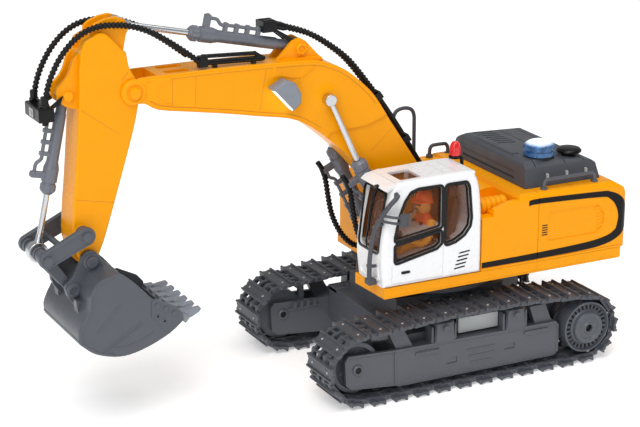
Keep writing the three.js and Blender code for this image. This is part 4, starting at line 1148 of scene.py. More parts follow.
def make_stick_half(side, sign):
    outline = anticlockwise(curved(STICK_SIDE, 50, 3))
    form = Form().flank(outline, sign, -4, STICK_HALF, 1.6, 3)
    form.carve(Form().block((-330, -220), off_middle(sign, -6, HALF_GAP), (100, 330), 0))
    form.carve(Form().block((-303, -255), off_middle(sign, -1, 4.4), (289, 320), 0))
    form.join(Form().flank(rounded(TOP_EARS, 2.2, 4), sign, *EAR_SPAN, 0.6, 2))
    form.join(Form().flank(rounded(FRONT_EARS, 2.2, 4), sign, *EAR_SPAN, 0.6, 2))
    for centre, size in ((BUCKET_PIN, 6.2), (ROCKER_PIVOT, 6.0)):
        form.boss(centre, sign, STICK_HALF - 0.5, [(0, size), (0.8, size), (1.2, size - 0.5), (1.2, 3)], 32)
    side_bolt(form, sign, STICK_CYLINDER_PIN, 8.0, 4.6, 0.9, 5.6)
    side_bolt(form, sign, BUCKET_CYLINDER_BASE, 8.0, 4.2, 2.4, 5.2)
    piece(f"stick_{side}_casting", form, YELLOW, "stick", [f"stick_{side}_half"], sharp=34)
    # Painted shadow lines across the stick's side.
    shadow_lines = Form()
    for path in ([(-300, 246.6), (-270.6, 224.6)], [(-267.2, 265.4), (-262.6, 271)],
                 [(-306.4, 178.9), (-276.2, 172.8)]):
        shadow_lines.flank(ribbon(path, 0.4), sign, STICK_HALF - 0.3, STICK_HALF + 0.06)
    piece(f"stick_{side}_seams", shadow_lines, SEAM_SHADOW, "stick")


def make_stick_fittings():
    pin = Form().cross_rod(BUCKET_PIN, 2.9, -20, 20)
    for sign in (-1, 1):
        pin.boss(BUCKET_PIN, sign, 17.9, [(0, 4.5), (2.0, 4.5), (2.6, 4.0), (2.6, 2.8), (1.6, 2.8)], 30)
    piece("bucket_pin_rings", pin, LINK, "stick", ["bucket_pin"])
    # Black discs painted at the pin ends as the shade inside the holes.
    hole = Form()
    for y in (-19.3, 19.3):
        hole.cross_rod(BUCKET_PIN, 2.7, y - 0.6, y + 0.6)
    piece("bucket_pin_holes", hole, BLACK, "stick")
    blocks = Form()
    blocks.block((-333, -321), (-15, 15), (240.5, 251.5), 1.4)
    for y in (-9.2, 9.2):
        blocks.slab([(-330, 244), (-314, 252), (-312, 258), (-322, 251)], y - 0.8, y + 0.8, "side", 0.3, 2)
    for y in (-11.5, 11.5):
        blocks.rod((-327, y, 250), (-327, y, 259.5), 2.9, 0.4, 20)
        blocks.rod((-327, y, 251.6), (-327, y, 254), 3.5, 0.3, 6)
        blocks.rod((-327, y, 238), (-327, y, 241.5), 2.4, 0.4, 16)
    piece("hose_stick_block", blocks, BLACK, "stick")
    plate = Form()
    plate.block((-333.6, -332.2), (-4.5, 4.5), (242.6, 249.4), 0.3)
    plate.hex_bolt((-333.5, 0, 246), (-1, 0, 0), 2, 0.8)
    piece("hose_stick_block_plate", plate, STEEL, "stick")


for side, sign in SIDES:
    make_boom_half(side, sign)
    make_stick_half(side, sign)
make_boom_fittings()
make_stick_fittings()


# ---- cylinders -------------------------------------------------------------------------------

def cylinder_axis(base, pin, y):
    return Vector((base[0], y, base[1])), Vector((pin[0], y, pin[1]))


def barrel_profile(radius, neck, length, rod_radius):
    """The slim barrel from its neck, a cone up to the thicker head, and the gland nut."""
    slim = radius - 0.9
    return [(neck - 1, radius * 0.45), (neck, slim * 0.8), (neck + 1.2, slim), (length - 25, slim),
            (length - 20, radius + 0.4), (length - 19.6, radius + 0.5), (length - 9.6, radius + 0.5),
            (length - 9.2, radius - 0.4), (length - 8.4, radius - 0.4), (length - 8, radius - 0.1),
            (length - 2, radius - 0.1), (length - 1.4, radius - 0.9), (length - 0.6, radius - 1.4),
            (length, radius - 2), (length, rod_radius + 0.3), (length - 4, rod_radius + 0.25)]


PIPE_RADIUS = 1.4
PIPE_OFF = 4.4                     # from the barrel's skin to the middle of its pipe


def side_pipe(form, base, pin, y, radius, near, length, out, clamps):
    """The oil pipe that stands off a barrel on narrow brackets, with an elbow at its head end."""
    start, end = cylinder_axis(base, pin, y)
    along = (end - start).normalized()
    out = Vector(out)
    out = (out - along * out.dot(along)).normalized()
    across = along.cross(out).normalized()
    turn = Matrix((along, across, out)).transposed().to_4x4()
    level = radius - 0.9 + PIPE_OFF
    far = length - 14

    def at(distance, height):
        return start + along * distance + out * height

    form.tube(smooth_path([at(near, level), at(far - 18, level), at(far - 12, level),
                           at(far - 8, level + 3.4), at(far - 3, level + 3.8), at(far, level + 3.8)], 5),
              PIPE_RADIUS, 12)
    for i in range(clamps):
        distance = near + 1 + (far - near - 17) * i / (clamps - 1)
        height = level + 2.2
        bracket = Form().block((-1.4, 1.4), (-1.8, 1.8), (radius - 2, height), 0.5)
        turn.translation = start + along * distance
        form.join(bracket, turn)
    turn.translation = start + along * far
    form.join(Form().block((-2.2, 2.2), (-2.4, 2.4), (radius - 1, level + 6.6), 0.8), turn)
    form.rod(at(near - 2, level), at(near + 3, level), 2.2, 0.4, 6)
    form.hex_bolt(at(far, level + 6.4), out, 1.5, 1.0)


def make_barrel(name, base, pin, y, radius, neck, length, rod_radius, eye_radius, eye_half, out, clamps,
                pipe_start=19):
    start, end = cylinder_axis(base, pin, y)
    form = Form().turned(start, end, barrel_profile(radius, neck, length, rod_radius), 40)
    form.rod((base[0], y - eye_half, base[1]), (base[0], y + eye_half, base[1]), eye_radius, 0.6, 32)
    along = (end - start).normalized()
    form.tube([start + along * (eye_radius - 1.5), start + along * (neck + 1)], eye_half - 0.3, 16)
    for i in range(10):
        turn = 2 * math.pi * i / 10
        side_way = along.orthogonal().normalized()
        other = along.cross(side_way)
        off = (side_way * math.cos(turn) + other * math.sin(turn)) * (radius - 0.2)
        here = start + along * (length - 7.4) + off
        form.rod(here, here + along * 4.8, 0.8, 0.2, 6)
    side_pipe(form, base, pin, y, radius, pipe_start, length, out, clamps)
    piece(f"{name}_case", form, CYLINDER, name, [name])


def make_rod(name, base, pin, y, inner, rod_radius, eye_radius, eye_half, hole=0, flare=0):
    start, end = cylinder_axis(base, pin, y)
    reach = (end - start).length
    along = (end - start).normalized()
    form = Form().rod(start + along * inner, start + along * (reach - eye_radius * 0.4), rod_radius, 0.3, 24)
    if flare:
        wide = rod_radius + flare
        form.turned(start + along * (reach - eye_radius - 5.5), end,
                    [(0, rod_radius), (0.4, wide), (3.8, wide + 0.2), (6.5, wide + 0.8)], 20)
    eye = Form().slab(circle(pin, eye_radius, 36), y - eye_half, y + eye_half, "side", 0.7, 3)
    if hole:
        eye.carve(Form().slab(circle(pin, hole, 28), y - eye_half - 1, y + eye_half + 1, "side"))
    form.join(eye)
    piece(f"{name}_steel", form, SILVER, name, [name])


for side, sign in SIDES:
    y = sign * BOOM_CYLINDER_Y
    make_barrel(f"boom_barrel_{side}", BOOM_CYLINDER_BASE, BOOM_CYLINDER_PIN, y, 5.9, 8, 84, 2.3, 6, 2.2,
                (-1, 0, 0.45), 4)
    make_rod(f"boom_rod_{side}", BOOM_CYLINDER_BASE, BOOM_CYLINDER_PIN, y, 30, 2.3, 4.7, 3.6)
make_barrel("stick_barrel", STICK_CYLINDER_BASE, STICK_CYLINDER_PIN, 0, 5.6, 17, 92, 2.5, 6, 4.3,
            (0, 0, 1), 4, 33)
make_rod("stick_rod", STICK_CYLINDER_BASE, STICK_CYLINDER_PIN, 0, 54, 2.5, 6, 4, 2.4, 1.1)
make_barrel("bucket_barrel", BUCKET_CYLINDER_BASE, CRANK_PIN, 0, 5.4, 14, 76, 2.3, 6, 4.3, (-1, 0, -0.2), 4)
make_rod("bucket_rod", BUCKET_CYLINDER_BASE, CRANK_PIN, 0, 50, 2.3, 7.8, 4, 5.1, 0.3)

# ---- bucket linkage and bucket ---------------------------------------------------------------

BUCKET_HALF = 39
BUCKET_WALL = 2.4
BUCKET_EAR_SPAN = (14, 17.6)
ROCKER_BAR_SPAN = (19.5, 24.5)
PUSH_CHEEK_SPAN = (8.5, 13)


def make_links():
    form = Form()
    for sign in (-1, 1):
        form.flank(stadium(ROCKER_PIVOT, 7, CRANK_PIN, 6.5, 14), sign, *ROCKER_BAR_SPAN, 0.9, 3)
        form.rim(anticlockwise(stadium(ROCKER_PIVOT, 6.2, CRANK_PIN, 5.7, 14)), 1.0,
                 *off_middle(sign, 24.2, 24.95))
        form.rod(across_axle(ROCKER_PIVOT, sign * 13.8), across_axle(ROCKER_PIVOT, sign * 20), 6, 0.5)
        for centre in (ROCKER_PIVOT, CRANK_PIN):
            side_bolt(form, sign, centre, 24.4, 4.2, 2.2, 5.2)
    middle = towards(ROCKER_PIVOT, CRANK_PIN, 19)
    form.cross_rod(CRANK_PIN, 2.2, -20, 20)
    form.cross_rod(ROCKER_PIVOT, 2.5, -20, 20)
    form.cross_rod(middle, 2.4, -20, 20)
    for y in (-12, 12):
        form.cross_rod(middle, 2.9, y - 1, y + 1)
    for y in (-16.3, -6.4, 6.4, 16.3):
        form.cross_rod(CRANK_PIN, 5.6, y - 1.9, y + 1.9, 0.5)
    piece("rocker_bars", form, LINK, "rocker", ["rocker_link"])
    form = Form()
    for sign in (-1, 1):
        form.flank(stadium(CRANK_PIN, 5, LINK_PIN, 3.6, 14), sign, *PUSH_CHEEK_SPAN, 0.8, 3)
    form.cross_rod(towards(CRANK_PIN, LINK_PIN, 20), 3.6, -10, 10, 0.6)
    form.carve(Form().cross_rod(CRANK_PIN, 2.5, -20, 20, 0.01))
    piece("push_link_cheeks", form, LINK, "push_link", ["push_link"])


BUCKET_SIDE = [(-285, 127), (-299, 123), (-305, 117), (-308, 110), (-309, 101), (-315, 91), (-318, 83),
               (-317, 75), (-309, 68), (-302, 64), (-290, 60.5), (-278, 60), (-262, 64), (-245, 71.5),
               (-233, 80.5), (-240, 88), (-247, 95), (-258, 101), (-267, 111), (-275, 119)]
BUCKET_CAVITY = [(-284, 125), (-297, 121), (-302, 116), (-305.5, 109), (-306.4, 100), (-312.4, 90),
                 (-315.3, 83), (-314.5, 76.4), (-307.6, 70.2), (-301, 66.4), (-289.6, 63.1), (-278.2, 62.6),
                 (-263, 66.4), (-246.6, 73.6), (-236, 81.6), (-222, 92), (-250, 135), (-282, 140)]
BUCKET_EARS = [(-307, 131), (-305.5, 136), (-302, 139), (-298, 139.6), (-294, 138), (-290.5, 133),
               (-287, 121), (-281, 116), (-284, 112), (-302, 99), (-307, 96), (-312, 98), (-317.5, 106),
               (-319.5, 112), (-318.5, 116.5), (-314, 119.5)]
BUCKET_CORNER = [(-259.4, 87.6), (-259.2, 99.6), (-256.8, 101.6), (-240, 93.2), (-234.6, 87), (-234, 81),
                 (-247, 73.4)]
BUCKET_EDGE = [(-286, 125.6), (-298, 121.8), (-303.6, 116.4), (-306.8, 109.6), (-307.8, 100.8),
               (-313.6, 90.6), (-316.6, 83), (-315.6, 75.6), (-308.2, 69.2), (-301.4, 65.2), (-290, 61.8)]
BUCKET_ARC = [(-257.5, 74.9), (-267.5, 70.5), (-277.5, 68.0), (-286.1, 67.1), (-295.2, 68.8)]
BUCKET_LINES = [(BUCKET_EDGE, 1.8, 0.7), (BUCKET_ARC, 1.0, 0.5),
                ([(-283.8, 101.5), (-302.6, 82.3)], 1.0, 0.5),
                ([(-267.7, 85.3), (-301, 65.8)], 0.8, 0.5),
                ([(-266.6, 83.0), (-298, 64.6)], 0.8, 0.5)]
BUCKET_TEETH = 6
BOLT_RING = [(0, 1.9), (0.7, 1.9), (0.9, 1.6), (0.9, 1.0), (0.3, 0.8)]


def make_bucket():
    form = Form().slab(anticlockwise(curved(BUCKET_SIDE, 40, 3)), -BUCKET_HALF, BUCKET_HALF, "side", 1.0, 2)
    cavity = anticlockwise(curved(BUCKET_CAVITY, 40, 3))
    form.carve(Form().slab(cavity, -BUCKET_HALF + BUCKET_WALL, BUCKET_HALF - BUCKET_WALL, "side"))
    for sign in (-1, 1):
        ear = Form().flank(rounded(BUCKET_EARS, 2.2, 4), sign, *BUCKET_EAR_SPAN, 0.6, 2)
        ear.carve(Form().slab(cavity, -BUCKET_HALF, BUCKET_HALF, "side"))
        form.join(ear)
        form.boss(LINK_PIN, sign, 17.3, [(0, 5.8), (1.4, 5.8), (1.9, 5.2), (1.9, 3.2), (0.4, 2.8)], 30)
        form.boss(BUCKET_PIN, sign, 17.3, [(0, 6.2), (1.0, 6.2), (1.5, 5.6), (1.5, 4.8)], 30)
        form.flank([(-314, 105), (-305, 102), (-312.4, 93.4)], sign, 17.2, 25, 0.4, 2)
        for path, width, height in BUCKET_LINES:
            side_relief(form, sign, BUCKET_HALF, ribbon(path, width), height, 0.25, 0.3)
        side_relief(form, sign, BUCKET_HALF, rounded(BUCKET_CORNER, 1.4, 3), 1.0, 0.3)
        for x, z in ((-255.1, 96), (-248.3, 92.2), (-241.6, 87.8)):
            side_bolt(form, sign, (x, z), BUCKET_HALF + 0.9, 2.4, 1.3)
        for x, z in ((-254.9, 87.4), (-249.6, 82.8)):
            form.boss((x, z), sign, BUCKET_HALF + 0.7, BOLT_RING, 16)
    form.rod((-316.6, -38.6, 77.5), (-316.6, 38.6, 77.5), 1.5, 0.4, 10)
    piece("bucket_casting", form, LINK, "bucket", ["bucket_shell"])
    make_teeth()


def make_teeth():
    """The cutting edge and its long rounded teeth."""
    form = Form()
    edge = [(-237.2, 82.8), (-231.2, 76.8), (-227.8, 80.6), (-233.8, 86.2)]
    form.slab(rounded(edge, 0.9, 3), -37.4, 37.4, "side", 0.5, 2)
    tooth = [(-235, 80.2), (-230, 78.2), (-224.6, 79.8), (-218.6, 82.8), (-216.8, 85), (-218, 87),
             (-224.4, 86.2), (-231, 85)]
    for i in range(BUCKET_TEETH):
        y = -32 + 64 * i / (BUCKET_TEETH - 1)
        form.slab(rounded(tooth, 0.8, 3), y - 2.7, y + 2.7, "side", 1.3, 4)
        form.block((-236.5, -229), (y - 3.6, y + 3.6), (81.2, 86.6), 0.7)
    piece("bucket_teeth_row", form, LAMP, "bucket", ["bucket_teeth"])


make_links()
make_bucket()


# ---- house -----------------------------------------------------------------------------------

HOUSE_HALF = 71
SHELL_Z = 90.3
DECK_Z = 148
SLOT_HALF = 28.3
TAIL_X = 143                       # where the sides begin to round into the tail
DOOR_X = 62.4                      # the gap between the side panel and the rear cover


def tail_curve(half, bulge, steps=24):
    """The rear of the house in plan, from the left side round to the right."""
    points = []
    for i in range(steps + 1):
        y = half * math.sin((i / steps * 2 - 1) * math.pi / 2)
        points.append((TAIL_X + bulge * math.sqrt(max(0, 1 - (abs(y) / half) ** 8)), y))
    return points


SHELL_SIDE = [(9.6, SHELL_Z), (149, SHELL_Z), (152.5, 104), (153, 117), (150.5, 130), (144, 142),
              (134, DECK_Z), (46, DECK_Z), (44, 144.3), (35, 144.3), (9.6, 137)]
RIGHT_SIDE = [(-45, SHELL_Z), (47, SHELL_Z), (47, 146), (-32, 146), (-41, 140), (-45, 130)]
STRIPE = [(8, 92.8), (62, 92.6), (110, 93.2), (130, 95.6), (141, 100), (148, 107), (150, 116), (148, 126),
          (141, 135), (131, 139.6), (121, 141), (64, 143.3), (53, 142.4), (53, 138.4), (64, 139),
          (121, 136.2), (131, 133.4), (137, 127), (140, 117), (138, 107), (130, 102.4), (110, 99.4),
          (62, 97.8), (8, 97.2)]


def shell_plan(out):
    """The house in plan behind the cab, moved outwards by a distance."""
    half = HOUSE_HALF + out
    return [(9.6, -half)] + tail_curve(half, 10 + out) + [(9.6, half)]


def side_groove(form, path, width, depth, half=HOUSE_HALF):
    for sign in (-1, 1):
        form.carve(Form().flank(ribbon(path, width), sign, half - depth, half + 5))


def make_house_shell():
    form = Form().slab(shell_plan(0), 80, DECK_Z, "plan", 5.5, 6)
    form.keep(Form().slab(anticlockwise(curved(SHELL_SIDE, 30, 4)), -90, 90, "side"))
    right = Form().slab(rounded([(-45, 28.6), (47, 28.6), (47, 71), (-45, 71)], [3, 0, 0, 6], 5), 80, 146,
                        "plan", 3.6, 5)
    right.keep(Form().slab(anticlockwise(curved(RIGHT_SIDE, 30, 4)), 20, 80, "side"))
    form.carve(Form().block((0, 30), (-SLOT_HALF, SLOT_HALF), (60, 170), 0))
    form.carve(Form().block((0, 20), (-80, -SLOT_HALF + 0.1), (134.4, 170), 0))
    form.carve(Form().slab(rectangle(5, 44, -HOUSE_HALF + 4, -SLOT_HALF - 2.4), 137, 170, "plan"))
    scoop = rounded([(72, 106), (118, 106), (126, 112), (126, 122), (120, 130), (72, 131)], 3, 4)
    for sign in (-1, 1):
        form.carve(Form().flank(scoop, sign, HOUSE_HALF - 0.9, HOUSE_HALF + 3))
    side_groove(form, [(DOOR_X, 88), (DOOR_X, 145)], 0.7, 0.7)
    side_groove(form, [(9, 92.3), (151, 92.3)], 0.6, 0.5)
    for x in (DOOR_X, 96):
        form.carve(Form().block((x - 0.3, x + 0.3), (-75, 75), (DECK_Z - 0.7, DECK_Z + 3), 0))
    for z in (110, 128):
        for k in range(5):
            y = (k - 2) * 7
            form.carve(Form().block((149, 160), (y - 2.4, y + 2.4), (z - 0.8, z + 0.8), 0))
    form.merge(right)
    for sign in (-1, 1):
        for x, z in ((120.7, 127.4), (122.4, 121.4), (123.4, 115.8), (123.4, 111.4)):
            louvre = stadium((x - 3.4, z - 0.6), 0.8, (x + 1.6, z + 0.6), 0.8, 5)
            side_relief(form, sign, HOUSE_HALF - 0.9, louvre, 0.7)
    piece("house_shell_cover", form, YELLOW, "house", ["house_shell"], sharp=34)


def make_house_trim():
    bands = Form().slab(shell_plan(0.28), 80, DECK_Z + 0.28, "plan", 5.5, 6)
    outline = anticlockwise(curved(STRIPE, 40, 4))
    sides = Form().slab(outline, -80, -40, "side").slab(outline, 40, 80, "side")
    bands.keep(sides)
    bands.carve(Form().slab(shell_plan(-1), 70, DECK_Z - 1, "plan", 5.5, 6))
    bands.carve(Form().block((5, 10), (-90, 90), (80, 160), 0))
    bands.carve(Form().block((DOOR_X - 0.3, DOOR_X + 0.3), (-90, 90), (80, 160), 0))
    piece("house_stripe", bands, BAND, "house")
    grille = Form()
    for sign in (-1, 1):
        for i in range(5):
            low, high = off_middle(sign, HOUSE_HALF - 0.6, HOUSE_HALF + 0.15)
            grille.block((66, 71.2), (low, high), (111.4 + i * 2, 112.4 + i * 2), 0.15)
    piece("house_side_grille", grille, BLACK, "house")
    make_filter()


def make_filter():
    """The ringed filter lying on the low deck."""
    profile = [(0, 4.8)]
    for i in range(5):
        middle = 2.4 + 4.8 * i
        profile += [(middle - 2.3, 5.4), (middle - 1.6, 6.3), (middle, 6.6), (middle + 1.6, 6.3),
                    (middle + 2.3, 5.4)]
    form = Form().turned((15, -56, 139.5), (39, -56, 139.5), profile + [(24, 4.8)], 40)
    form.block((14, 38), (-58.5, -53.5), (131.6, 136), 0.6)
    piece("deck_filter", form, YELLOW, "house")


def make_house_floor():
    form = from_node("house_floor", 0.7, 2)
    for sign in (-1, 1):
        front = -74 if sign < 0 else -44
        side_relief(form, sign, HOUSE_HALF, ribbon([(front, 83.4), (136, 83.4)], 1.0), 0.35, 0.3)
        for x in (-60, -20, 20, 60, 100)[sign > 0:]:
            side_bolt(form, sign, (x, 86.4), HOUSE_HALF - 0.1, 1.3, 0.6)
        form.boss(BOOM_FOOT, sign, 17.8, [(0, 7.2), (0.9, 7.2), (1.2, 6.8), (1.2, 3)], 30)
        form.flank([(-16, 90), (22, 90), (16, 104), (-8, 104)], sign, 18, 19.4, 0.4, 2)
        for x in (-38, -46):
            form.block((x - 0.8, x + 0.8), off_middle(sign, 27.5, 29.5), (84, 100), 0.3)
    piece("house_floor_sill", form, YELLOW, "house", ["house_floor"], sharp=34)
    piece("boom_foot_pin_steel", from_node("boom_foot_pin", 0.3), SILVER, "house", ["boom_foot_pin"])
    board = from_node("circuit_board", 0.15, 1)
    for i in range(8):
        board.block((66 + i * 5, 69 + i * 5), (18, 24), (97.4, 100), 0.2)
        board.rod((64 + i * 5.4, -24, 97.4), (64 + i * 5.4, -24, 103), 1.7, 0.2, 14)
    piece("circuit_board_parts", board, CIRCUIT, "house", ["circuit_board"])
    motor = from_node("slew_motor", 0.6)
    motor.rod((62, 0, 95.2), (62, 0, 98.5), 5, 0.5, 30)
    piece("slew_motor_case", motor, STEEL, "house", ["slew_motor"])


HOOD_SIDE = [(57, 148.3), (129, 148.3), (126.5, 161), (122, 164), (66, 168.5), (60, 166)]
HOOD_ACROSS = [(-58, 148), (58, 148), (54, 163), (46, 168.5), (0, 171), (-46, 168.5), (-54, 163)]


def make_hood():
    form = Form().slab(rounded(HOOD_SIDE, [0, 0, 3, 4, 5, 3], 5), -60, 60, "side", 0)
    form.keep(Form().slab(rounded(HOOD_ACROSS, [0, 0, 4, 6, 40, 6, 4], 5), 40, 140, "end"))
    for i in range(8):
        y = 8 + i * 6
        form.carve(Form().block((72, 90), (y, y + 2.2), (165.2, 180), 0))
    for x in (70, 98, 116):
        form.carve(Form().block((x - 0.4, x + 0.4), (-60, 60), (155, 180), 0).keep(
            Form().slab([(-60, 163.4), (60, 163.4), (60, 180), (-60, 180)], 40, 140, "end")))
    form.carve(Form().block((56, 59), (-40, 40), (152, 154), 0))
    form.carve(Form().block((56, 59), (-40, 40), (157, 159), 0))
    form.block((64, 70), (-26, 30), (166, 169.2), 0.8)
    form.block((120, 128), (-46, 46), (150, 158), 1.0)
    piece("hood_cover", form, DARK, "house", ["hood"], sharp=34)
    dashes = Form()
    for x in (79, 97.6, 116):
        dashes.block((x - 0.8, x + 0.8), (-57.7, -54), (153.4, 158), 0.25)
    piece("hood_dashes", dashes, PLATE, "house")


BLUE_BEACON = (83, -37)
EXHAUST = (112, -37)
RED_BEACON = (6, -33)


def make_beacons():
    x, y = BLUE_BEACON
    base = Form().turned((x, y, 165), (x, y, 190), [(0, 12.4), (3.4, 12.4), (3.8, 12.0), (4.0, 9)], 48)
    piece("blue_beacon_base", base, BLACK, "house", ["blue_beacon"])
    dome = Form().turned((x, y, 168.6), (x, y, 190),
                         [(0, 12.4), (0.4, 12.8), (3.8, 12.6), (4.2, 11.8), (4.9, 11.8), (5.3, 12.5),
                          (8.6, 12.1), (9.2, 11.4), (10.0, 10.6), (11.2, 8.6), (12.2, 5.6), (12.7, 0.2)],
                         48)
    for i in range(36):
        out = wheel_way(i, 36)
        out = Vector((out.x, out.z, 0))
        dome.rod(Vector((x, y, 169.0)) + out * 12.5, Vector((x, y, 172.2)) + out * 12.3, 0.5, 0.15, 6)
        dome.rod(Vector((x, y, 174.0)) + out * 12.3, Vector((x, y, 177.0)) + out * 12.0, 0.5, 0.15, 6)
    piece("blue_beacon_dome", dome, BLUE_LENS, "house")
    x, y = EXHAUST
    cap = Form().turned((x, y, 163.6), (x, y, 178),
                        [(0, 6), (3.0, 6), (3.4, 7.2), (3.7, 10.0), (4.4, 10.6), (5.6, 10.4), (6.8, 9.2),
                         (7.5, 6.6), (7.8, 2)], 40)
    piece("exhaust_cap_head", cap, BLACK, "house", ["exhaust_cap"])
    x, y = RED_BEACON
    stalk = Form().tube(smooth_path([(x + 6.5, y, 163), (x + 6.5, y, 170), (x + 5.8, y, 174),
                                     (x + 3, y, 175.6), (x, y, 176.2)], 6), 1.5, 12)
    stalk.turned((x, y, 175.0), (x, y, 190), [(0, 5.0), (1.6, 5.2), (2.2, 4.8), (2.4, 4.0)], 30)
    piece("red_beacon_stalk", stalk, BLACK, "house", ["red_beacon"])
    bulb = Form().turned((x, y, 177.2), (x, y, 194),
                         [(0, 4.2), (0.6, 4.4), (7, 4.0), (9.4, 3.6), (11, 2.4), (11.7, 0.2)], 32)
    for i in range(16):
        out = wheel_way(i, 16)
        out = Vector((out.x, out.z, 0))
        bulb.rod(Vector((x, y, 177.8)) + out * 4.3, Vector((x, y, 185.2)) + out * 4.0, 0.3, 0.1, 6)
    piece("red_beacon_bulb", bulb, RED_LENS, "house")


def bent_bar(points, radius):
    return Form().tube(smooth_path(points, 6), radius, 14)


def make_rails():
    side = [(71, -64, 147.5), (71, -64, 150), (71.3, -64, 153), (73, -64, 155.2), (76, -64, 155.6),
            (95, -64, 155.6), (114.5, -64, 155.6), (117.5, -64, 155.2), (119.2, -64, 153),
            (119.5, -64, 150), (119.5, -64, 147.5)]
    form = bent_bar(side, 1.5)
    for x in (71, 119.5):
        form.rod((x, -64, 147.8), (x, -64, 149.6), 3.0, 0.4, 24)
    piece("side_rail_bar", form, GREY, "house", ["side_rail"])
    hoop = [(-14, 33, 145), (-14, 33, 165), (-14, 33, 186), (-13.6, 33, 194), (-11.5, 33, 198.8),
            (-7, 33, 201), (-1, 33, 201), (3.6, 33, 198.8), (5.7, 33, 194), (6, 33, 186), (6, 33, 165),
            (6, 33, 145)]
    form = bent_bar(hoop, 1.6)
    for x in (-14, 6):
        form.rod((x, 33, 145.8), (x, 33, 148), 3.2, 0.4, 24)
    piece("hoop_rail_bar", form, DARK, "house", ["hoop_rail"])
    front = [(38, 62, 145), (38, 62, 149), (38.4, 62, 153.5), (40.4, 62, 156.1), (44, 62, 156.5),
             (50, 62, 156.5), (53.6, 62, 156.1), (55.6, 62, 153.5), (56, 62, 149), (56, 62, 147)]
    form = bent_bar(front, 1.6)
    for x in (38, 56):
        form.rod((x, 62, 145.8), (x, 62, 148.8), 3.0, 0.4, 24)
    piece("front_rail_bar", form, DARK, "house", ["front_rail"])


make_house_shell()
make_house_trim()
make_house_floor()
make_hood()
make_beacons()
make_rails()

# ---- cab -------------------------------------------------------------------------------------

CAB_Y = (-73, -28.3)
CAB_TOP = 175.5
CAB_SIDE = [(-79, SHELL_Z), (8.6, SHELL_Z), (8.6, 120), (8, 145), (5.5, 164), (2, 172.5), (-4, CAB_TOP),
            (-62, CAB_TOP - 1), (-68, 173), (-71.5, 169), (-74, 161), (-78, 142), (-80.5, 125), (-81, 109)]
FRONT_WINDOW = [(-70, 127.5), (-70, 131), (-66, 148), (-61.5, 159), (-56.5, 165.5), (-50, 167.5),
                (-28.5, 167.5), (-28.5, 133.5)]
LOWER_WINDOW = [(-70, 124.5), (-28.5, 131), (-28.5, 120.5), (-33, 117), (-70, 109.5)]
REAR_WINDOW = [(-25.5, 167.5), (-6.5, 167.5), (-4.5, 163), (-2, 138), (-3, 131), (-8, 124.5), (-16, 120),
               (-25.5, 118)]
WINDSCREEN = [(-66, 117.5), (-34.6, 117.5), (-34.6, 166), (-66, 166)]
SUNROOF = [(-62, -66), (-43.5, -66), (-43.5, -43), (-62, -43)]


def make_cab_shell():
    outline = anticlockwise(curved(CAB_SIDE, 40, 4))
    form = Form().slab(outline, *CAB_Y, "side", 4.0, 6)
    hollow = Form().slab(inset(outline, 2.2), CAB_Y[0] + 2.2, CAB_Y[1] - 2.2, "side", 2.0, 3)
    form.carve(hollow)
    form.carve(Form().block((-75, 6), (CAB_Y[0] + 3, CAB_Y[1] - 3), (80, 94), 0))
    for window, radius in ((FRONT_WINDOW, 3), (LOWER_WINDOW, 2.4), (REAR_WINDOW, 3)):
        form.carve(Form().slab(rounded(window, radius, 5), CAB_Y[0] - 2, CAB_Y[1] + 2, "side"))
    form.carve(Form().slab(rounded(WINDSCREEN, 4, 5), -95, -64, "end"))
    form.carve(Form().slab(rounded(SUNROOF, 2.5, 4), 165, 182, "plan"))
    for x in (-34, -24, -14):
        form.carve(Form().block((x, x + 1.2), (-66, -36), (CAB_TOP - 0.7, CAB_TOP + 2), 0))
    for path in ([(-72.6, 92), (-72.6, 108)], [(-27, 92), (-27, 118)], [(-72.6, 93.5), (-27, 93.5)]):
        form.carve(Form().slab(ribbon(path, 0.6), CAB_Y[0] - 1, CAB_Y[0] + 0.6, "side"))
    visor = [(-62, 174.5), (-74, 172.5), (-78, 169), (-76, 167.5), (-70, 170)]
    form.slab(visor, CAB_Y[0] + 2, CAB_Y[1] - 2, "side", 0.5, 2)
    relief = rounded([(-20, 112), (-2, 113), (1, 96), (-8, 94.5), (-22, 95)], 3, 4)
    form.slab(relief, CAB_Y[0] - 0.45, CAB_Y[0] + 1, "side", 0.4, 2)
    for i in range(5):
        x, z = -7.5 - 1.1 * i, 110 - 3.1 * i
        slot = stadium((x - 4.4, z - 0.2), 0.75, (x + 4.4, z + 0.6), 0.75, 5)
        form.carve(Form().slab(slot, CAB_Y[0] - 2, CAB_Y[0] + 0.9, "side"))
    panel = rounded([(-66, 95), (-36, 95), (-36, 112), (-66, 112)], 3, 4)
    form.join(Form().rim(panel, 0.8, -82.4, -80.2, "end").shape(lambda co: Vector((co.x + 1.2, co.y, co.z))))
    piece("cab_shell_cover", form, WHITE, "house", ["cab_shell"], sharp=34)


def make_cab_trim():
    """Black window seals, the thin lines beside them and the handle."""
    form = Form()
    outer = CAB_Y[0]
    for window, radius in ((FRONT_WINDOW, 3), (LOWER_WINDOW, 2.4), (REAR_WINDOW, 3)):
        edge = anticlockwise(rounded(window, radius, 5))
        form.rim(inset(edge, -1.5), 2.0, outer - 0.45, outer + 0.6, bevel=0.25)
        form.rim(inset(edge, 1.1), 0.7, outer + 0.9, outer + 2.6)
        form.rim(inset(edge, -0.9), 1.5, CAB_Y[1] - 0.6, CAB_Y[1] + 0.15, bevel=0.1)
    glass = anticlockwise(rounded(WINDSCREEN, 4, 5))
    seal = Form().rim(inset(glass, -1.2), 1.5, -1.0, 0.5, "end", 0.25)

    def lean(co):
        """Moves a flat seal onto the leaning front of the cab."""
        rise = (co.z - 109) / 64
        return Vector((-81.1 + 6.8 * rise * rise + 0.9 * rise + co.x, co.y, co.z))

    form.join(seal.shape(lean))
    form.slab(stadium((-63.4, 101.5), 1.1, (-57.6, 101.5), 1.1, 8), outer - 0.7, outer + 0.4, "side", 0.3, 2)
    piece("cab_window_seals", form, BLACK, "house")


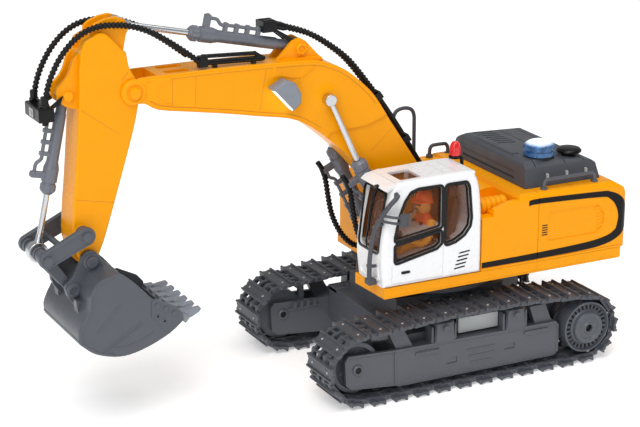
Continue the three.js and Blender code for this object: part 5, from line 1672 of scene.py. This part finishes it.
def make_glazing():
    form = from_node("cab_glazing", 0.0)
    form.slab(rounded(SUNROOF, 2.5, 4), CAB_TOP - 2.3, CAB_TOP - 1.5, "plan", 0.2, 2)
    piece("cab_glazing_panes", form, GLASS, "house", ["cab_glazing"])


SEAT_Y = -50.5


def make_seat():
    form = Form()
    cushion = [(-48, 84.3), (-16, 84.3), (-14.5, 107), (-20, 110), (-46, 113), (-50, 110)]
    form.slab(rounded(cushion, 3, 5), SEAT_Y - 12, SEAT_Y + 12, "side", 2.2, 4)
    back = [(-20, 104), (-12, 103), (-7, 132), (-5, 150), (-9, 152), (-14, 134), (-19, 114)]
    form.slab(rounded(back, 2, 4), SEAT_Y - 10.6, SEAT_Y + 10.6, "side", 2.0, 4)
    rest = [(-13, 151), (-5.5, 151), (-4.6, 163), (-9, 164), (-13.4, 161)]
    form.slab(rounded(rest, 2, 4), SEAT_Y - 7, SEAT_Y + 7, "side", 2.0, 4)
    for y in (-13.4, 13.4):
        arm = [(-40, 117), (-16, 118), (-16, 121.5), (-40, 120.5)]
        form.slab(rounded(arm, 1.4, 4), SEAT_Y + y - 1.6, SEAT_Y + y + 1.6, "side", 0.9, 3)
        form.rod((-18, SEAT_Y + y, 108), (-18, SEAT_Y + y, 119), 1.2, 0.3, 12)
    form.block((-22, -4), (-44, -31.6), (94, 148), 1.5)
    piece("cab_seat_moulding", form, SEAT, "house", ["cab_seat"], sharp=50)


def make_driver():
    """A generic toy driver: helmet, smooth face, vest, sleeves and trousers."""
    vest = Form()
    rings = []
    for z, half_x, half_y, x in ((113, 7, 8.8, -29), (117, 8, 9.6, -29), (123, 7.6, 9.6, -29.4),
                                 (130, 7.6, 10.4, -30), (134.5, 6.8, 10.4, -30.2), (137.5, 4.8, 8.0, -30.4),
                                 (139.4, 3.0, 4.4, -30.6), (141, 2.6, 3.0, -30.8)):
        rings.append([(x + half_x * math.copysign(abs(math.cos(t)) ** 0.75, math.cos(t)),
                       SEAT_Y + half_y * math.copysign(abs(math.sin(t)) ** 0.75, math.sin(t)), z)
                      for t in (2 * math.pi * k / 28 for k in range(28))])
    vest.loops(rings)
    piece("driver_vest", vest, VEST, "house", ["driver_figure"], sharp=60)
    sleeves = Form()
    for sign in (-1, 1):
        y = SEAT_Y + sign * 11.6
        arm = smooth_path([(-30, SEAT_Y + sign * 9, 135), (-32, y, 130), (-36, y + sign * 0.6, 122),
                           (-40, y, 119), (-47, y - sign * 1.4, 121), (-53, y - sign * 2.6, 124)], 5)
        sleeves.tube(arm, [4.2 - 1.6 * i / (len(arm) - 1) for i in range(len(arm))], 14)
        leg = smooth_path([(-28, SEAT_Y + sign * 5, 117), (-42, SEAT_Y + sign * 5.6, 118),
                           (-54, SEAT_Y + sign * 5.6, 116), (-60, SEAT_Y + sign * 5.6, 108),
                           (-61, SEAT_Y + sign * 5.6, 98)], 5)
        sleeves.tube(leg, [4.8 - 1.6 * i / (len(leg) - 1) for i in range(len(leg))], 14)
    piece("driver_sleeves", sleeves, SLEEVE, "house", sharp=60)
    dark = Form()
    for sign in (-1, 1):
        stripe = [(-37.9, SEAT_Y + sign * 5.4, z) for z in (118, 122, 126, 130, 134)]
        dark.tube(smooth_path(stripe, 3), 1.5, 8)
        dark.slab(rounded(rectangle(-66.5, -57.5, 93, 98), 1.6, 4), SEAT_Y + sign * 5.6 - 3,
                  SEAT_Y + sign * 5.6 + 3, "side", 1.2, 3)
        dark.ball((-54, SEAT_Y + sign * 9, 124.4), (2.8, 2.6, 2.8), 10, 14)
    visor = [(-38.2, SEAT_Y - 4.6, 148.4), (-39.6, SEAT_Y, 148.4), (-38.2, SEAT_Y + 4.6, 148.4)]
    dark.tube(smooth_path(visor, 6), 1.35, 10)
    dark.rod((-30, SEAT_Y, 139), (-30, SEAT_Y, 142), 3.2, 0.3, 16)
    piece("driver_gear", dark, SEAT, "house")
    face = Form().ball((-31.4, SEAT_Y, 146.2), (6.7, 5.9, 7.6), 20, 26)
    face.ball((-38.1, SEAT_Y, 145.9), (1.3, 1.2, 1.6), 10, 12)
    for sign in (-1, 1):
        face.ball((-30.8, SEAT_Y + sign * 5.8, 146), (1.6, 0.9, 2.1), 10, 12)
    piece("driver_face", face, SKIN, "house", sharp=60)
    helmet = []
    for i in range(13):
        t = math.radians(90 * i / 12)
        helmet.append((9.4 * math.sin(t), max(8.3 * math.cos(t), 0.05)))
    hat = Form().turned((-30.6, SEAT_Y, 150.2), (-30.6, SEAT_Y, 160), helmet, 36)
    brim = stadium((-34.5, SEAT_Y), 8.4, (-29.8, SEAT_Y), 9.3, 14)
    hat.slab(brim, 149.4, 150.8, "plan", 0.6, 3)
    hat.tube(smooth_path([(-38.6, SEAT_Y, 152), (-36.4, SEAT_Y, 157.2), (-30.6, SEAT_Y, 159.9),
                          (-24.6, SEAT_Y, 157), (-22.4, SEAT_Y, 152)], 5), 1.3, 10)
    piece("driver_helmet", hat, HELMET, "house", sharp=60)


def make_console():
    form = from_node("control_console", 0.7)
    for y in (-14, 14):
        form.ball((-62, SEAT_Y + y, 130.4), (2.6, 2.6, 3.0), 12, 16)
    for i in range(4):
        form.rod((-68.4, SEAT_Y - 9 + 6 * i, 120.8), (-68.4, SEAT_Y - 9 + 6 * i, 122), 1.4, 0.3, 14)
    form.slab(rounded([(-73, 121), (-68, 121), (-66, 128), (-72, 131)], 1, 3), SEAT_Y - 8, SEAT_Y + 8,
              "side", 0.7, 2)
    piece("control_console_moulding", form, DARK, "house", ["control_console"])


def make_handrail():
    route = [(-84.5, -60, 93.5), (-86.5, -62, 97), (-87, -63, 111), (-86.5, -65, 125), (-85, -68, 139),
             (-82, -73, 150), (-80, -76.5, 156), (-77, -78.5, 161), (-72, -78, 165), (-70.5, -74.6, 167)]
    form = Form().tube(smooth_path(route, 5), 1.9, 16)
    form.slab(rounded([(-88, -64), (-80.5, -64), (-80.5, -56), (-88, -56)], 1.4, 4), 91.6, 96.2,
              "plan", 0.8, 3)
    for here, way in (((-86.8, -62.6, 107), (5.6, 0, 0)), ((-84.6, -69, 142), (6, 1, 0)),):
        form.rod(here, Vector(here) + Vector(way), 1.3, 0.3, 14)
    for k in (3, 8, 14):
        at = smooth_path(route, 5)[k * 3]
        form.rod(at - Vector((0, 0, 1.2)), at + Vector((0, 0, 1.2)), 2.4, 0.4, 16)
    piece("cab_handrail_bar", form, DARK, "house", ["cab_handrail"])
    mirror = Form().slab(rounded(rectangle(-70.4, -62.6, 141.6, 152.4), 1.6, 5), -82.6, -79.4, "side", 1.1, 3)
    mirror.rim(rounded(rectangle(-69.4, -63.6, 142.6, 151.4), 1.2, 4), 0.7, -83.0, -82.4)
    for z in (145, 149.6):
        mirror.tube(smooth_path([(-83, -71.6, z + 1.6), (-79, -77, z + 1.2), (-74, -80.4, z + 0.4),
                                 (-69, -80.8, z)], 5), 1.1, 12)
    piece("cab_mirror_head", mirror, DARK, "house", ["cab_mirror"])
    arm = Form()
    arm.rod((-79.4, -57, 168), (-76.2, -57, 168.6), 2.6, 0.5, 24)
    arm.tube(smooth_path([(-78.4, -57, 168), (-81.4, -56.8, 158), (-83.2, -56, 146), (-84, -55.2, 134)], 5),
             [1.5 - 0.04 * i for i in range(16)], 12)
    arm.tube(smooth_path([(-81.6, -57.5, 158), (-83.6, -55, 140), (-84.4, -52, 124)], 6), 0.75, 10)
    arm.tube(smooth_path([(-82, -56, 152), (-84, -54.4, 138), (-84.6, -53.2, 120)], 6), 0.55, 8)
    piece("wiper_arm", arm, BLACK, "house", ["wiper"])


make_cab_shell()
make_cab_trim()
make_glazing()
make_seat()
make_driver()
make_console()
make_handrail()
